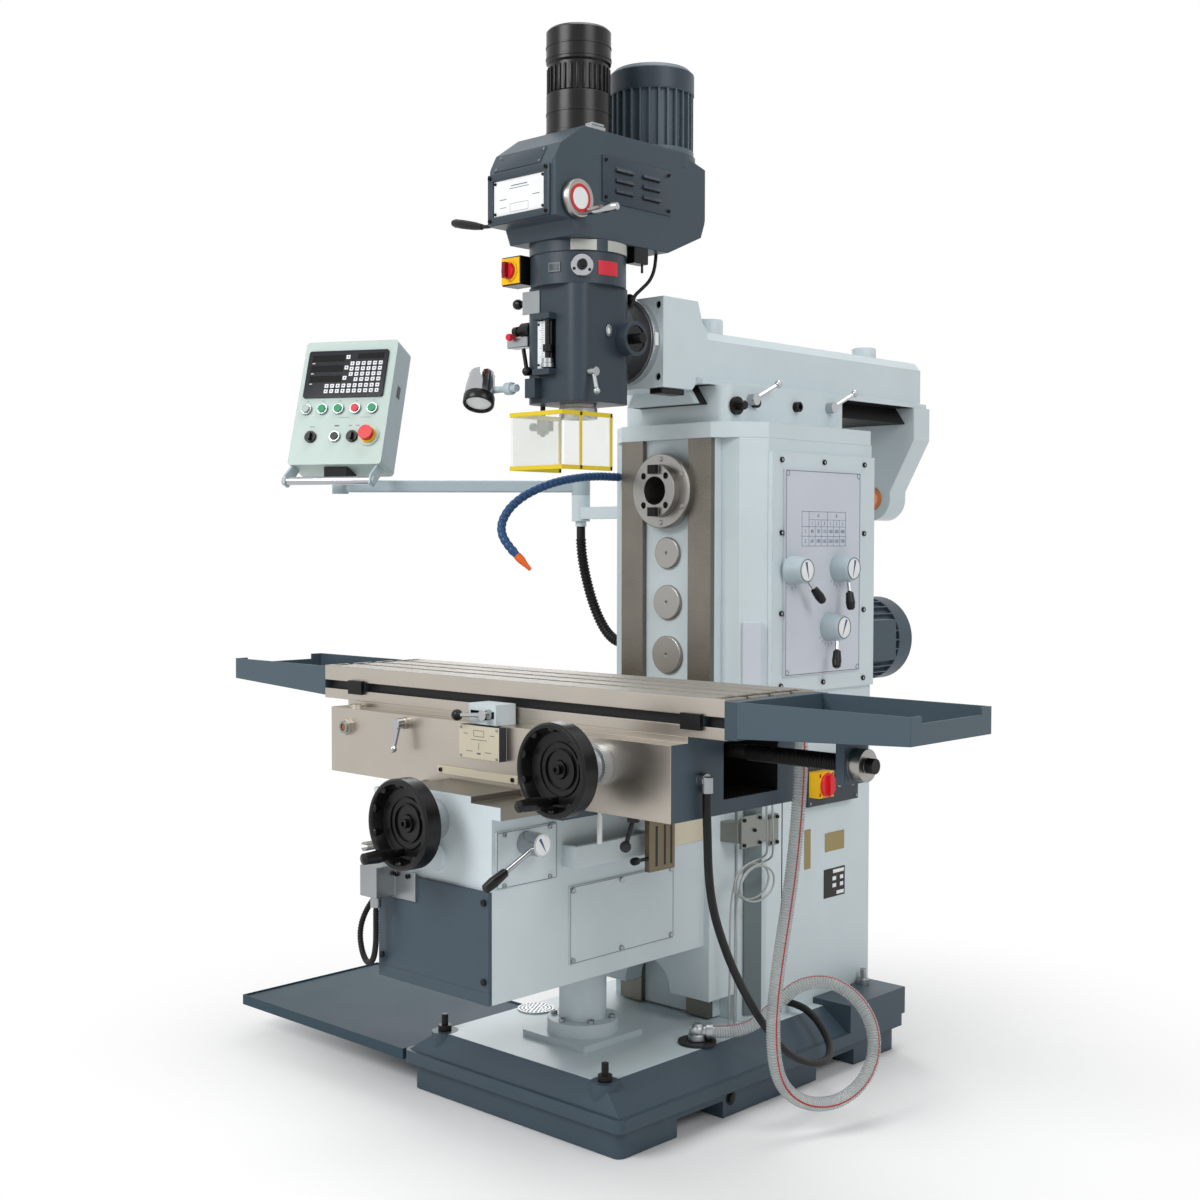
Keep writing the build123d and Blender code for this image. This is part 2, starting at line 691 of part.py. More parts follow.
# Saddle: rides on the knee and carries the table; its ground front is the apron
half_saddle = saddle_length / 2
with BuildPart() as saddle:
    block(-half_saddle, half_saddle, saddle_front, saddle_rear, knee_top, ledge_height)
    block(-half_saddle, half_saddle, table_front, table_back, ledge_height, slide_height)
    block(-guide_length / 2, guide_length / 2, table_middle - guide_width / 2, table_middle + guide_width / 2,
          slide_height, slide_height + guide_height)
    block(-half_saddle, half_saddle, trough_front, trough_rear, trough_bottom, trough_top, mode=Mode.SUBTRACT)
    block(-60, 60, screw_place - 45, screw_place + 45, trough_bottom, trough_top)
    rod((-60, screw_place, screw_height), (60, screw_place, screw_height), screw_diameter / 2 + fit,
        mode=Mode.SUBTRACT)
    block(-half_flange - gap, half_flange + gap, saddle_front, saddle_rear, knee_top, flange_top + gap,
          mode=Mode.SUBTRACT)
    block(-half_slide - gap, half_slide + gap, saddle_front, saddle_rear, flange_top, slide_top, mode=Mode.SUBTRACT)
    for sign in (-1, 1):
        outer = sign * (half_flange + saddle_gib)
        low, high = sorted((sign * (half_flange + gap), outer))
        block(low, high, saddle_front + 20, saddle_rear - 20, knee_top - saddle_gib_drop, knee_top)
        low, high = sorted((sign * (half_neck + 2 * gap), outer))
        block(low, high, saddle_front + 20, saddle_rear - 20, knee_top - saddle_gib_drop,
              knee_top - knee_flange_drop - gap)
    x, z = traverse_axis
    rod((x, saddle_front, z), (x, saddle_front + 20, z), 10 + fit, mode=Mode.SUBTRACT)
    block(-32, 56, saddle_front - 14, table_front - 6, ledge_height, ledge_height + 46)
    rod((-480, (saddle_front + table_front) / 2, ledge_height),
        (-480, (saddle_front + table_front) / 2, ledge_height + 8), 18)
    with BuildSketch(Plane(origin=(-481, saddle_front, ledge_height - 44), z_dir=(0, -1, 0))) as sight:
        RegularPolygon(20, 6)
    extrude(sight.sketch, amount=12)
    block(-56, 74, saddle_front - 22, saddle_front, ledge_height - 76, ledge_height - 2)
    rod((-262, saddle_front, ledge_height - 18), (-262, saddle_front - 14, ledge_height - 18), 14)
    rod((half_saddle, -516, ledge_height - 77), (half_saddle + 16, -516, ledge_height - 77), 14)
    rod((half_saddle + 16, -516, ledge_height - 70), (half_saddle + 16, -516, ledge_height - 102), 13)
save(saddle, "saddle")

with BuildPart() as table_feed_lever:
    z = ledge_height + 24
    rod((34, saddle_front - 36, z), (34, saddle_front - 14, z), 12)
    ball_lever((34, saddle_front - 26, z), (-42, saddle_front - 40, z - 4), 5, 13)
save(table_feed_lever, "table_feed_lever")

with BuildPart() as table_clamp_lever:
    rod((-262, saddle_front - 14, 890), (-262, saddle_front - 34, 890), 12)
    ball_lever((-262, saddle_front - 24, 890), (-268, saddle_front - 36, 832), 6, 9)
save(table_clamp_lever, "table_clamp_lever")

with BuildPart() as saddle_clamp_lever:
    rod((420, saddle_front + 30, knee_top), (420, saddle_front + 30, knee_top - 14), 13)
    ball_lever((420, saddle_front + 30, knee_top - 7), (420, saddle_front + 6, knee_top - 62), 5, 12)
save(saddle_clamp_lever, "saddle_clamp_lever")

handwheel("traverse_handwheel", traverse_axis, saddle_front, traverse_wheel_face, 262)

# Table with three T-slots, a dog slot in front and cross troughs at its ends
half_table = table_length / 2
with BuildPart() as table:
    block(-half_table, half_table, table_front, table_back, slide_height, table_top)
    block(-half_table, half_table, table_middle - guide_width / 2 - gap, table_middle + guide_width / 2 + gap,
          slide_height, slide_height + guide_height + gap, mode=Mode.SUBTRACT)
    for k in (-1, 0, 1):
        y = table_middle + k * table_slot_pitch
        block(-half_table, half_table, y - table_slot / 2, y + table_slot / 2, table_top - table_slot_depth,
              table_top, mode=Mode.SUBTRACT)
        block(-half_table, half_table, y - table_slot_head / 2, y + table_slot_head / 2,
              table_top - table_slot_depth, table_top - table_slot_depth / 2, mode=Mode.SUBTRACT)
    block(-half_table, half_table, table_front, table_front + dog_slot_depth, dog_slot_bottom, dog_slot_top,
          mode=Mode.SUBTRACT)
    for sign in (-1, 1):
        low, high = sorted((sign * (half_table - 10), sign * (half_table - 10 - trough_width)))
        block(low, high, table_front + 14, table_back - 14, table_top - table_slot_depth, table_top,
              mode=Mode.SUBTRACT)
save(table, "table")

with BuildPart() as table_trays:
    for sign in (-1, 1):
        start = half_table + (table_end if sign > 0 else 0)
        end = start + tray_length
        outer = [(sign * start, tray_low), (sign * end, tray_high), (sign * end, tray_rim), (sign * start, tray_rim)]
        inner = [(sign * (start + sheet), tray_low + sheet), (sign * (end - sheet), tray_high + sheet),
                 (sign * (end - sheet), tray_rim), (sign * (start + sheet), tray_rim)]
        prism(Plane.XZ.offset(-table_front), outer, -tray_depth)
        prism(Plane.XZ.offset(-table_front - sheet), inner, -tray_depth + 2 * sheet, mode=Mode.SUBTRACT)
        low, high = sorted((sign * (end - sheet), sign * end))
        block(low, high, table_front + 35, table_front + tray_depth - 35, tray_rim - 14, tray_rim,
              mode=Mode.SUBTRACT)
save(table_trays, "table_trays")

with BuildPart() as table_fittings:
    block(half_table, half_table + table_end, table_front, table_back, slide_height + 2, table_top - 4)
    block(half_table, bracket_left + bracket_thickness, screw_place - 40, screw_place + 40, slide_height + 1,
          tray_low)
    block(bracket_left, bracket_left + bracket_thickness, screw_place - 40, screw_place + 40, screw_height - 38,
          slide_height + 1)
    rod((bracket_left + bracket_thickness, screw_place, screw_height),
        (bracket_left + bracket_thickness + bearing_length, screw_place, screw_height), bearing_diameter / 2)
    rod((bracket_left, screw_place, screw_height),
        (bracket_left + bracket_thickness + bearing_length, screw_place, screw_height), screw_diameter / 2 + fit,
        mode=Mode.SUBTRACT)
    for x in (-510, 560):
        block(x - 26, x + 26, table_front, table_front + dog_slot_depth, dog_slot_bottom, dog_slot_top)
        block(x - 26, x + 26, table_front - 10, table_front, dog_slot_bottom - 8, dog_slot_top + 4)
    rod((screw_left, screw_place, screw_height),
        (bracket_left + bracket_thickness + bearing_length + 18, screw_place, screw_height), screw_diameter / 2)
    x, y = drain_place
    block(x - 20, x + 20, table_back, y + 22, drain_bottom + 3, drain_bottom + 48)
    rod((x, y, drain_bottom), (x, y, drain_bottom + 3), 15)
save(table_fittings, "table_fittings")

# Turret: swivels on top of the column and holds the ram in a dovetail
with BuildPart() as turret:
    prism(Plane.XY.offset(turret_bottom),
          mirrored([(way_width / 2, 0), (front_width / 2, body_front), (side, side_front), (side, column_back - 5)]),
          turret_plate)
    rod((0, turret_pivot, turret_bottom - spigot_height), (0, turret_pivot, turret_bottom), spigot_diameter / 2)
    block(-turret_width / 2, turret_width / 2, turret_front, turret_back, turret_deck, ram_seat)
    fillet(turret.edges().filter_by(Axis.Z).filter_by_position(Axis.Z, turret_deck + 1, ram_seat), 28)
    prism(Plane.XZ.offset(-turret_front + 1),
          mirrored([(dovetail_top / 2, ram_seat), (dovetail_bottom / 2, ram_seat - dovetail_depth)]),
          -(turret_back - turret_front + 2), mode=Mode.SUBTRACT)
    y, z = pinion_place
    rod((turret_width / 2 - 50, y, z), (turret_width / 2, y, z), 12 + fit, mode=Mode.SUBTRACT)
    for y, z in clamp_places:
        rod((turret_width / 2 - 30, y, z), (turret_width / 2, y, z), 9 + fit, mode=Mode.SUBTRACT)
save(turret, "turret")

with BuildPart() as ram_pinion:
    y, z = pinion_place
    face = turret_width / 2
    rod((face - 50, y, z), (face, y, z), 12)
    rod((face, y, z), (face + 10, y, z), 22)
    with BuildSketch(Plane(origin=(face + 10, y, z), z_dir=(1, 0, 0))) as hexagon:
        RegularPolygon(11, 6)
    extrude(hexagon.sketch, amount=22)
save(ram_pinion, "ram_pinion")

for name, (y, z) in zip(("ram_clamp_front", "ram_clamp_rear"), clamp_places):
    with BuildPart() as clamp:
        face = turret_width / 2
        tip = (face + 40, y + 62, z + 40)
        rod((face - 30, y, z), (face, y, z), 9)
        rod((face, y, z), (face + 22, y, z), 14)
        ball_lever((face + 11, y, z), tip, 5, 10)
    save(clamp, name)

# Ram: a long bar with a male dovetail and a nose block that carries the head
half_ram = ram_width / 2
with BuildPart() as ram:
    prism(Plane.XZ.offset(20),
          mirrored([(half_ram + ram_ledge, ram_seat), (half_ram + ram_ledge, ram_seat + 12),
                    (half_ram, ram_seat + 16), (half_ram, ram_top - 22), (half_ram - 20, ram_top)]),
          -(ram_back + 20))
    prism(Plane.XZ.offset(20),
          mirrored([(dovetail_top / 2 - gap, ram_seat), (dovetail_bottom / 2 - gap, ram_seat - dovetail_depth + gap)]),
          -(ram_back + 20))
    prism(Plane.YZ, [(nose_block_front, nose_block_bottom), (nose_block_front, nose_block_top),
                     (nose_block_front + 126, nose_block_top), (4, ram_top + 16), (22, ram_top),
                     (22, ram_seat + 16), (-20, ram_seat), (-34, nose_block_bottom)], half_ram, both=True)
    rod((60, 95, ram_top - 2), (60, 95, ram_top + 22), 34)
    rod((60, 770, ram_top - 2), (60, 770, ram_top + 12), 34)
    for x in (-half_ram + 17, half_ram - 17):
        for z in (nose_block_bottom + 25, nose_block_top - 19):
            rod((x, nose_block_front, z), (x, nose_block_front + 14, z), 9, mode=Mode.SUBTRACT)
save(ram, "ram")

with BuildPart() as arbor_support:
    prism(Plane.XZ.offset(-support_place),
          mirrored([(support_width / 2, ram_seat), (support_width / 2, ram_seat - 90),
                    (support_boss / 2, spindle_height + 20), (support_boss / 2, spindle_height)]),
          -support_thickness)
    rod((0, support_place, spindle_height), (0, support_place + support_thickness, spindle_height), support_boss / 2)
    prism(Plane.XZ.offset(-support_place + 1),
          mirrored([(dovetail_top / 2, ram_seat), (dovetail_bottom / 2, ram_seat - dovetail_depth)]),
          -(support_thickness + 2), mode=Mode.SUBTRACT)
    rod((0, support_place, spindle_height), (0, support_place + support_thickness, spindle_height), bush_outer / 2,
        mode=Mode.SUBTRACT)
    turned((0, support_place - 4, spindle_height), (0, 1, 0),
           [(bush_inner / 2, 0), (bush_outer / 2, 0), (bush_outer / 2, support_thickness + 8),
            (bush_inner / 2, support_thickness + 8)])
save(arbor_support, "arbor_support")

# Vertical head
tilt_face = nose_block_front - tilt_flange_thickness
head_rear = head_axis + head_depth / 2
pinion_y = head_axis + quill_pinion_offset
half_head = head_width / 2
half_guard = guard_width / 2
guard_hinge = (-half_guard - 26, head_axis - 6)
switch_box = (-78, head_axis - 111, head_top + 10)
with BuildPart() as head_body:
    block(-half_head, half_head, head_front, head_rear, head_bottom, head_top)
    fillet(head_body.edges().filter_by(Axis.Z), 40)
    rod((0, head_rear - 40, tilt_height), (0, tilt_face, tilt_height), tilt_flange / 2 - 8)
    rod((0, head_axis, head_top), (0, head_axis, collar_top), collar_diameter / 2)
    rod((0, head_axis, collar_top), (0, head_axis, neck_top), neck_diameter / 2)
    rod((half_head - 20, pinion_y, quill_pinion_height), (half_head + 28, pinion_y, quill_pinion_height), 38)
    block(-36, 18, head_front - 22, head_front + 4, 1690, 1704)
    block(-36, 18, head_front - 22, head_front + 4, 1816, 1830)
    block(-60, -28, head_front - 22, head_front + 6, 1640, 1684)
    rod((0, head_axis, head_bottom), (0, head_axis, neck_top), quill_diameter / 2 + fit, mode=Mode.SUBTRACT)
    rod((-10, pinion_y, quill_pinion_height), (half_head + 28, pinion_y, quill_pinion_height), pinion_shaft / 2 + fit,
        mode=Mode.SUBTRACT)
    rod((-30, pinion_y, quill_pinion_height), (30, pinion_y, quill_pinion_height), quill_pinion_radius + gap,
        mode=Mode.SUBTRACT)
    rod((4, head_front - 12, 1704), (4, head_front - 12, 1816), 6)
    rod((4, head_front - 12, 1742), (4, head_front - 12, 1758), 11)
    block(-32, -8, head_front - 8, head_front, 1706, 1814)
    rod((0, tilt_face, tilt_height), (0, nose_block_front, tilt_height), tilt_flange / 2)
    x, y = guard_hinge
    rod((x, y, guard_top - 46), (x, y, 1670), guard_rod / 2)
    block(x - 10, -half_head, y - 10, y + 10, 1650, 1670)
    x, y, z = switch_box
    block(x - 61, x, y, y + 49, z, z + 66)
save(head_body, "head_body")

with BuildPart() as quill:
    turned((0, head_axis, quill_bottom), (0, 0, 1),
           [(head_spindle_diameter / 2 + fit, 0), (quill_diameter / 2, 0), (quill_diameter / 2, quill_length),
            (head_spindle_diameter / 2 + fit, quill_length)])
save(quill, "quill")

with BuildPart() as vertical_spindle:
    turned((0, head_axis, quill_bottom), (0, 0, 1),
           [(head_taper / 2, -head_nose_length - gap), (head_nose_diameter / 2, -head_nose_length - gap),
            (head_nose_diameter / 2, -gap), (head_spindle_diameter / 2, -gap),
            (head_spindle_diameter / 2, quill_length - 5), (9, quill_length - 5), (9, 44),
            (head_taper / 2 - 68 * 3.5 / 24, 44)])
save(vertical_spindle, "vertical_spindle")

with BuildPart() as quill_pinion:
    rod((-10, pinion_y, quill_pinion_height), (half_head + 54, pinion_y, quill_pinion_height), pinion_shaft / 2)
    rod((-28, pinion_y, quill_pinion_height), (28, pinion_y, quill_pinion_height), quill_pinion_radius - 0.5)
save(quill_pinion, "quill_pinion")

with BuildPart() as quill_lock_lever:
    y, z = head_axis - 56, 1694
    rod((half_head, y, z), (half_head + 20, y, z), 10)
    ball_lever((half_head + 10, y, z), (half_head + 34, y - 14, z - 46), 5, 8)
save(quill_lock_lever, "quill_lock_lever")

# Belt housing, motor and power drawbar on top of the head
half_housing = housing_width / 2
speed_hub = 16
speed_pivot = (-half_housing - 10 - speed_hub - gap, head_axis - 60, 2070)
housing_outline = [(housing_front, 2025), (housing_front, housing_top - 96), (housing_front + 26, housing_top - 48),
                   (housing_front + 96, housing_top), (housing_back - 110, housing_top),
                   (housing_back, housing_top - 30), (housing_back, housing_top - 132),
                   (housing_back - 23, housing_top - 192), (housing_back - 143, neck_top),
                   (housing_front + 70, neck_top), (housing_front + 56, 2025)]
with BuildPart() as belt_housing:
    prism(Plane.YZ, housing_outline, half_housing, both=True)
    fillet(belt_housing.edges().filter_by(Axis.Z), 12)
    block(-half_housing + housing_wall, half_housing - housing_wall, housing_front + 80, housing_back - 60,
          neck_top + 45, housing_top - 60, mode=Mode.SUBTRACT)
    rod((0, head_axis, neck_top), (0, head_axis, neck_top + 50), 40, mode=Mode.SUBTRACT)
    rod((0, head_motor_place, housing_top - 34), (0, head_motor_place, housing_top), head_motor_diameter / 2 + 4)
    x, y, z = speed_pivot
    block(-half_housing - 10, -half_housing, y - 22, y + 22, z - 24, z + 24)
save(belt_housing, "belt_housing")

with BuildPart() as head_motor:
    motor_top = housing_top + head_motor_length
    turned((0, head_motor_place, 0), (0, 0, 1),
           [(0, housing_top), (head_motor_diameter / 2, housing_top), (head_motor_diameter / 2, housing_top + 14),
            (head_motor_diameter / 2 - 12, housing_top + 14), (head_motor_diameter / 2 - 12, motor_top - 60),
            (head_motor_diameter / 2, motor_top - 60), (head_motor_diameter / 2, motor_top - 10),
            (head_motor_diameter / 2 - 10, motor_top), (0, motor_top)])
    for k in range(fin_count):
        with Locations(Plane(origin=(0, head_motor_place, housing_top + head_motor_length / 2 - 23),
                             x_dir=(math.cos(2 * math.pi * k / fin_count), math.sin(2 * math.pi * k / fin_count), 0))):
            with Locations((head_motor_diameter / 2 - 9, 0, 0)):
                Box(16, 4, head_motor_length - 74)
save(head_motor, "head_motor")

with BuildPart() as drawbar_unit:
    drawbar_top = housing_top + drawbar_length
    radius = drawbar_diameter / 2
    turned((0, head_axis, 0), (0, 0, 1),
           [(0, housing_top), (radius, housing_top), (radius, drawbar_top - 150), (radius - 5, drawbar_top - 146),
            (radius - 5, drawbar_top - 82), (radius, drawbar_top - 78), (radius, drawbar_top - 6),
            (radius - 6, drawbar_top), (0, drawbar_top)])
save(drawbar_unit, "drawbar_unit")

with BuildPart() as speed_crank:
    y, z = housing_front + 68, 2069
    rod((half_housing, y, z), (half_housing + 16, y, z), 43)
    rod((half_housing + 16, y, z), (half_housing + 26, y, z), 16)
    rod((half_housing + 26, y + 19, z - 28), (half_housing + 34, y + 19, z - 28), 8)
    block(half_housing + 20, half_housing + 26, y - 8, y + 27, z - 36, z + 8)
    rod((half_housing + 34, y + 19, z - 28), (half_housing + 76, y + 19, z - 28), 9)
save(speed_crank, "speed_crank")

with BuildPart() as speed_lever:
    x, y, z = speed_pivot
    rod((x, y - 14, z), (x, y + 14, z), speed_hub)
    lever((x, y, z), (-410, y, z + 24), 7, 14, 100)
save(speed_lever, "speed_lever")

with BuildPart() as head_switch_knob:
    x, y, z = switch_box[0] - 31, switch_box[1], switch_box[2] + 33
    rod((x, y, z), (x, y - 7, z), 24)
    block(x - 5, x + 5, y - 26, y - 7, z - 18, z + 18)
save(head_switch_knob, "head_switch_knob")

# Cutter guard: framed clear panes on a hinge rod at the left of the head
with BuildPart() as guard:
    block(-half_guard, half_guard, guard_front, guard_front + guard_frame, guard_bottom, guard_top)
    block(-half_guard + guard_frame, half_guard - guard_frame, guard_front, guard_front + guard_frame,
          guard_bottom + guard_frame, guard_top - guard_frame, mode=Mode.SUBTRACT)
    for sign in (-1, 1):
        low, high = sorted((sign * (half_guard - guard_frame), sign * half_guard))
        block(low, high, guard_front + guard_frame, guard_front + guard_depth, guard_bottom, guard_top)
        block(low, high, guard_front + guard_frame, guard_front + guard_depth - guard_frame,
              guard_bottom + guard_frame, guard_top - guard_frame, mode=Mode.SUBTRACT)
    x, y = guard_hinge
    block(x, -half_guard, y - 8, y + 8, guard_top - 34, guard_top - 10)
    rod((x, y, guard_top - 40), (x, y, guard_top - 4), 14)
    rod((x, y, guard_top - 40), (x, y, guard_top - 4), guard_rod / 2 + fit, mode=Mode.SUBTRACT)
    middle = guard_front + guard_frame / 2
    block(-half_guard + guard_frame, half_guard - guard_frame, middle - pane / 2, middle + pane / 2,
          guard_bottom + guard_frame, guard_top - guard_frame)
    for sign in (-1, 1):
        middle = sign * (half_guard - guard_frame / 2)
        block(middle - pane / 2, middle + pane / 2, guard_front + guard_frame, guard_front + guard_depth - guard_frame,
              guard_bottom + guard_frame, guard_top - guard_frame)
save(guard, "cutter_guard")

with BuildPart() as work_lamp:
    x, y, z = lamp_knuckle
    turned((x + 18, y, z), (-1, 0, 0),
           [(0, 0), (9, 0), (9, 14), (15, 18), (15, 34), (8, 38), (8, lamp_reach - 12), (0, lamp_reach - 12)])
    turned((x - lamp_reach, y, z + 44), (0, -0.35, -0.937),
           [(0, 0), (lamp_diameter * 0.33, 0), (lamp_diameter * 0.42, 12), (lamp_diameter / 2, lamp_height),
            (lamp_diameter / 2 - 3, lamp_height), (lamp_diameter / 2 - 6, lamp_height - 22), (0, lamp_height - 22)])
save(work_lamp, "work_lamp")

# Control pendant on a swivelling arm at the left of the column
turn = math.radians(pendant_turn)
lean = math.radians(pendant_lean)
face_right = Vector(math.cos(turn), math.sin(turn), 0)
face_out = Vector(math.sin(turn) * math.cos(lean), -math.cos(turn) * math.cos(lean), math.sin(lean))
pendant_plane = Plane(origin=pendant_place, x_dir=face_right, z_dir=face_out)


def on_face(x, y, height=0):
    """A point on the pendant's face, or that far in front of it."""
    return tuple(pendant_plane.origin + pendant_plane.x_dir * x + pendant_plane.y_dir * y
                 + pendant_plane.z_dir * height)


with BuildPart() as pendant_arm:
    x, y = post_place
    top = arm_height - arm_tall / 2 - 8
    swivel_x, swivel_y, _ = on_face(0, -pendant_height / 2, -pendant_depth / 2)
    rod((x, y, top), (x, y, arm_height + arm_tall / 2 + 4), post_diameter / 2)
    reach = Vector(swivel_x - x, swivel_y - y, 0)
    with BuildSketch(Plane(origin=(x, y, arm_height), x_dir=(0, 0, 1), z_dir=reach)) as section:
        RectangleRounded(arm_tall, arm_wide, 4)
    extrude(section.sketch, amount=reach.length)
    rod((swivel_x, swivel_y, arm_height - 20), (swivel_x, swivel_y, arm_height + 20), swivel_diameter / 2)
save(pendant_arm, "pendant_arm")

with BuildPart() as pendant:
    with BuildSketch(pendant_plane) as face:
        RectangleRounded(pendant_width, pendant_height, 10)
    extrude(face.sketch, amount=-pendant_depth)
    with BuildSketch(pendant_plane.offset(-pendant_front_wall)) as hollow:
        Rectangle(pendant_width - 2 * pendant_wall, pendant_height - 2 * pendant_wall)
    extrude(hollow.sketch, amount=pendant_front_wall + pendant_wall - pendant_depth, mode=Mode.SUBTRACT)
    x0, x1, y0, y1 = readout
    with BuildSketch(pendant_plane) as frame:
        with Locations(((x0 + x1) / 2, (y0 + y1) / 2)):
            RectangleRounded(x1 - x0, y1 - y0, 6)
    extrude(frame.sketch, amount=6)
    rod((swivel_x, swivel_y, arm_height + 20), (swivel_x, swivel_y, arm_height + 70), swivel_diameter / 2)
    low = -pendant_height / 2
    for sx in (-1, 1):
        cheek = Plane(origin=on_face(sx * 125, 0), x_dir=pendant_plane.y_dir, z_dir=pendant_plane.x_dir)
        prism(cheek, [(low + 6, -48), (low + 6, -10), (low - 40, 26), (low - 66, 26), (low - 66, 0), (low - 24, -30)], 3,
              both=True)
    rod(on_face(-134, low - 52, 12), on_face(134, low - 52, 12), 11)
    for x, y in (*push_places.values(), lamp_button, *selector_knob_places.values()):
        rod(on_face(x, y), on_face(x, y, 4), button_bezel / 2)
    x, y = stop_place
    rod(on_face(x, y), on_face(x, y, 4), 30)
    x, y = lamp_button
    rod(on_face(x, y, 4), on_face(x, y, 12), button_diameter / 2)
    for x, y in (*push_places.values(), *selector_knob_places.values(), stop_place):
        rod(on_face(x, y, -14), on_face(x, y, 4), button_diameter / 2 + fit, mode=Mode.SUBTRACT)
save(pendant, "pendant")

for name, (x, y) in push_places.items():
    with BuildPart() as button:
        rod(on_face(x, y, -14 + button_travel + 1), on_face(x, y, button_proud), button_diameter / 2)
    save(button, name)

for name, (x, y) in selector_knob_places.items():
    with BuildPart() as knob:
        rod(on_face(x, y, -14), on_face(x, y, 8), button_diameter / 2)
        with BuildSketch(pendant_plane.offset(8)) as grip:
            with Locations((x, y)):
                SlotOverall(button_diameter, 9, rotation=90)
        extrude(grip.sketch, amount=10)
    save(knob, name)

with BuildPart() as stop_button:
    x, y = stop_place
    rod(on_face(x, y, -14 + button_travel + 1), on_face(x, y, 14), button_diameter / 2)
    rod(on_face(x, y, 14), on_face(x, y, 28), stop_diameter / 2)
save(stop_button, "pendant_emergency_stop")


# Hoses and conduits: straight runs joined by the largest arcs that the runs allow
def cord_path(name, points):
    """The route of a cord through its corner points; prints the radius of every bend."""
    corners = [Vector(*point) for point in points]
    radii = []
    for before, at, after in zip(corners, corners[1:], corners[2:]):
        turn_angle = math.radians((at - before).get_angle(after - at))
        shorter = min((at - before).length, (after - at).length)
        radii.append(0.45 * shorter / math.tan(turn_angle / 2))
    with BuildLine() as route:
        FilletPolyline(*corners, radius=radii)
    wire = route.wire()
    print(name, "length", round(wire.length), "bend radii", [round(radius) for radius in radii])
    return wire


def section_plane(wire, distance, before):
    """The plane across a route that far along it, its X axis carried on from the one before, without a twist."""
    along = wire.tangent_at(distance, position_mode=PositionMode.LENGTH)
    across = (before - along * before.dot(along)).normalized()
    return Plane(origin=wire.position_at(distance, position_mode=PositionMode.LENGTH), x_dir=across, z_dir=along)


def ribbed(wire, outer, root, bore, pitch, cuff):
    """A ribbed hose with its bore: ribs between two plain cuffs, every rib a ruled loft through four circles."""
    count = int((wire.length - 2 * cuff) / pitch)
    start = (wire.length - count * pitch) / 2
    rings = [(0, root)]
    for k in range(count):
        for part_way, radius in ((0.1, root), (0.3, outer), (0.7, outer), (0.9, root)):
            rings.append((start + (k + part_way) * pitch, radius))
    rings.append((wire.length, root))
    across = Vector(1, 0.2, 0.1)
    circles = []
    for distance, radius in rings:
        plane = section_plane(wire, distance, across)
        across = plane.x_dir
        circles.append(Wire.make_circle(radius, plane))
    with BuildPart() as hose:
        add(Solid.make_loft(circles, True))
        with BuildSketch(section_plane(wire, 0, Vector(1, 0.2, 0.1))) as hollow:
            Circle(bore)
        sweep(hollow.sketch, path=wire, mode=Mode.SUBTRACT)
    print("ribs", count, "volume", round(hose.part.volume))
    return hose


drain_mouth = (drain_place[0], drain_place[1], drain_bottom)
elbow_mouth = (elbow_place[0] + 30, elbow_place[1] + 26, deck_height + elbow_height)
loop_along = Vector(math.cos(loop_turn), math.sin(loop_turn), 0)
loop_aside = Vector(-math.sin(loop_turn), math.cos(loop_turn), 0)
loop_corners = []
for k in range(loop_count):
    angle = math.radians(loop_start + k * loop_step)
    reach = loop_radius / math.cos(math.radians(loop_step / 2))
    drift = loop_drift[0] + (loop_drift[1] - loop_drift[0]) * k / (loop_count - 1)
    loop_corners.append(Vector(*loop_centre) + loop_along * (reach * math.cos(angle)) + loop_aside * drift
                        + Vector(0, 0, reach * math.sin(angle)))
return_route = cord_path("return_hose", [
    drain_mouth, (drain_place[0], drain_place[1], 862), (583, -229, 790), (577, -230, 705), (567, -231, 612),
    (553, -232, 520), (537, -232, 430), (523, -232, 340), (515, -231, 252), *[tuple(corner) for corner in loop_corners],
    (424, -12, 292), (380, -36, 240), (342, -59, 194), (elbow_mouth[0] + 39, elbow_mouth[1] + 34, elbow_mouth[2]),
    elbow_mouth])
return_hose = ribbed(return_route, 16, 14.6, 12.5, 12, 34)
save(return_hose, "return_hose")

conduit_start = (half_saddle + 16, -516, 806)
power_route = cord_path("power_conduit", [
    conduit_start, (half_saddle + 16, -516, 766), (559, -508, 712), (548, -492, 640), (533, -460, 560),
    (518, -410, 480), (503, -347, 395), (487, -271, 310), (475, -192, 230), (469, -110, 160), (466, -28, 118),
    (462, 45, 104), (425, 118, 108), (376, 164, 126), (326, 186, 154), (282, 188, 172), (side, 188, 172)])
with BuildPart() as power_conduit:
    with BuildSketch(section_plane(power_route, 0, Vector(1, 0, 0))) as section:
        Circle(9)
        Circle(6.5, mode=Mode.SUBTRACT)
    sweep(section.sketch, path=power_route)
save(power_conduit, "power_conduit")

pendant_route = cord_path("pendant_conduit", [
    (post_place[0], post_place[1], post_bottom - 14), (post_place[0], post_place[1], 1306), (-407, 130, 1256),
    (-398, 136, 1204), (-384, 142, 1152), (-362, 147, 1102), (-332, 150, 1062), (-292, 152, 1040), (-side, 152, 1040)])
pendant_conduit = ribbed(pendant_route, 14, 12.4, 9.5, 9, 28)
save(pendant_conduit, "pendant_conduit")

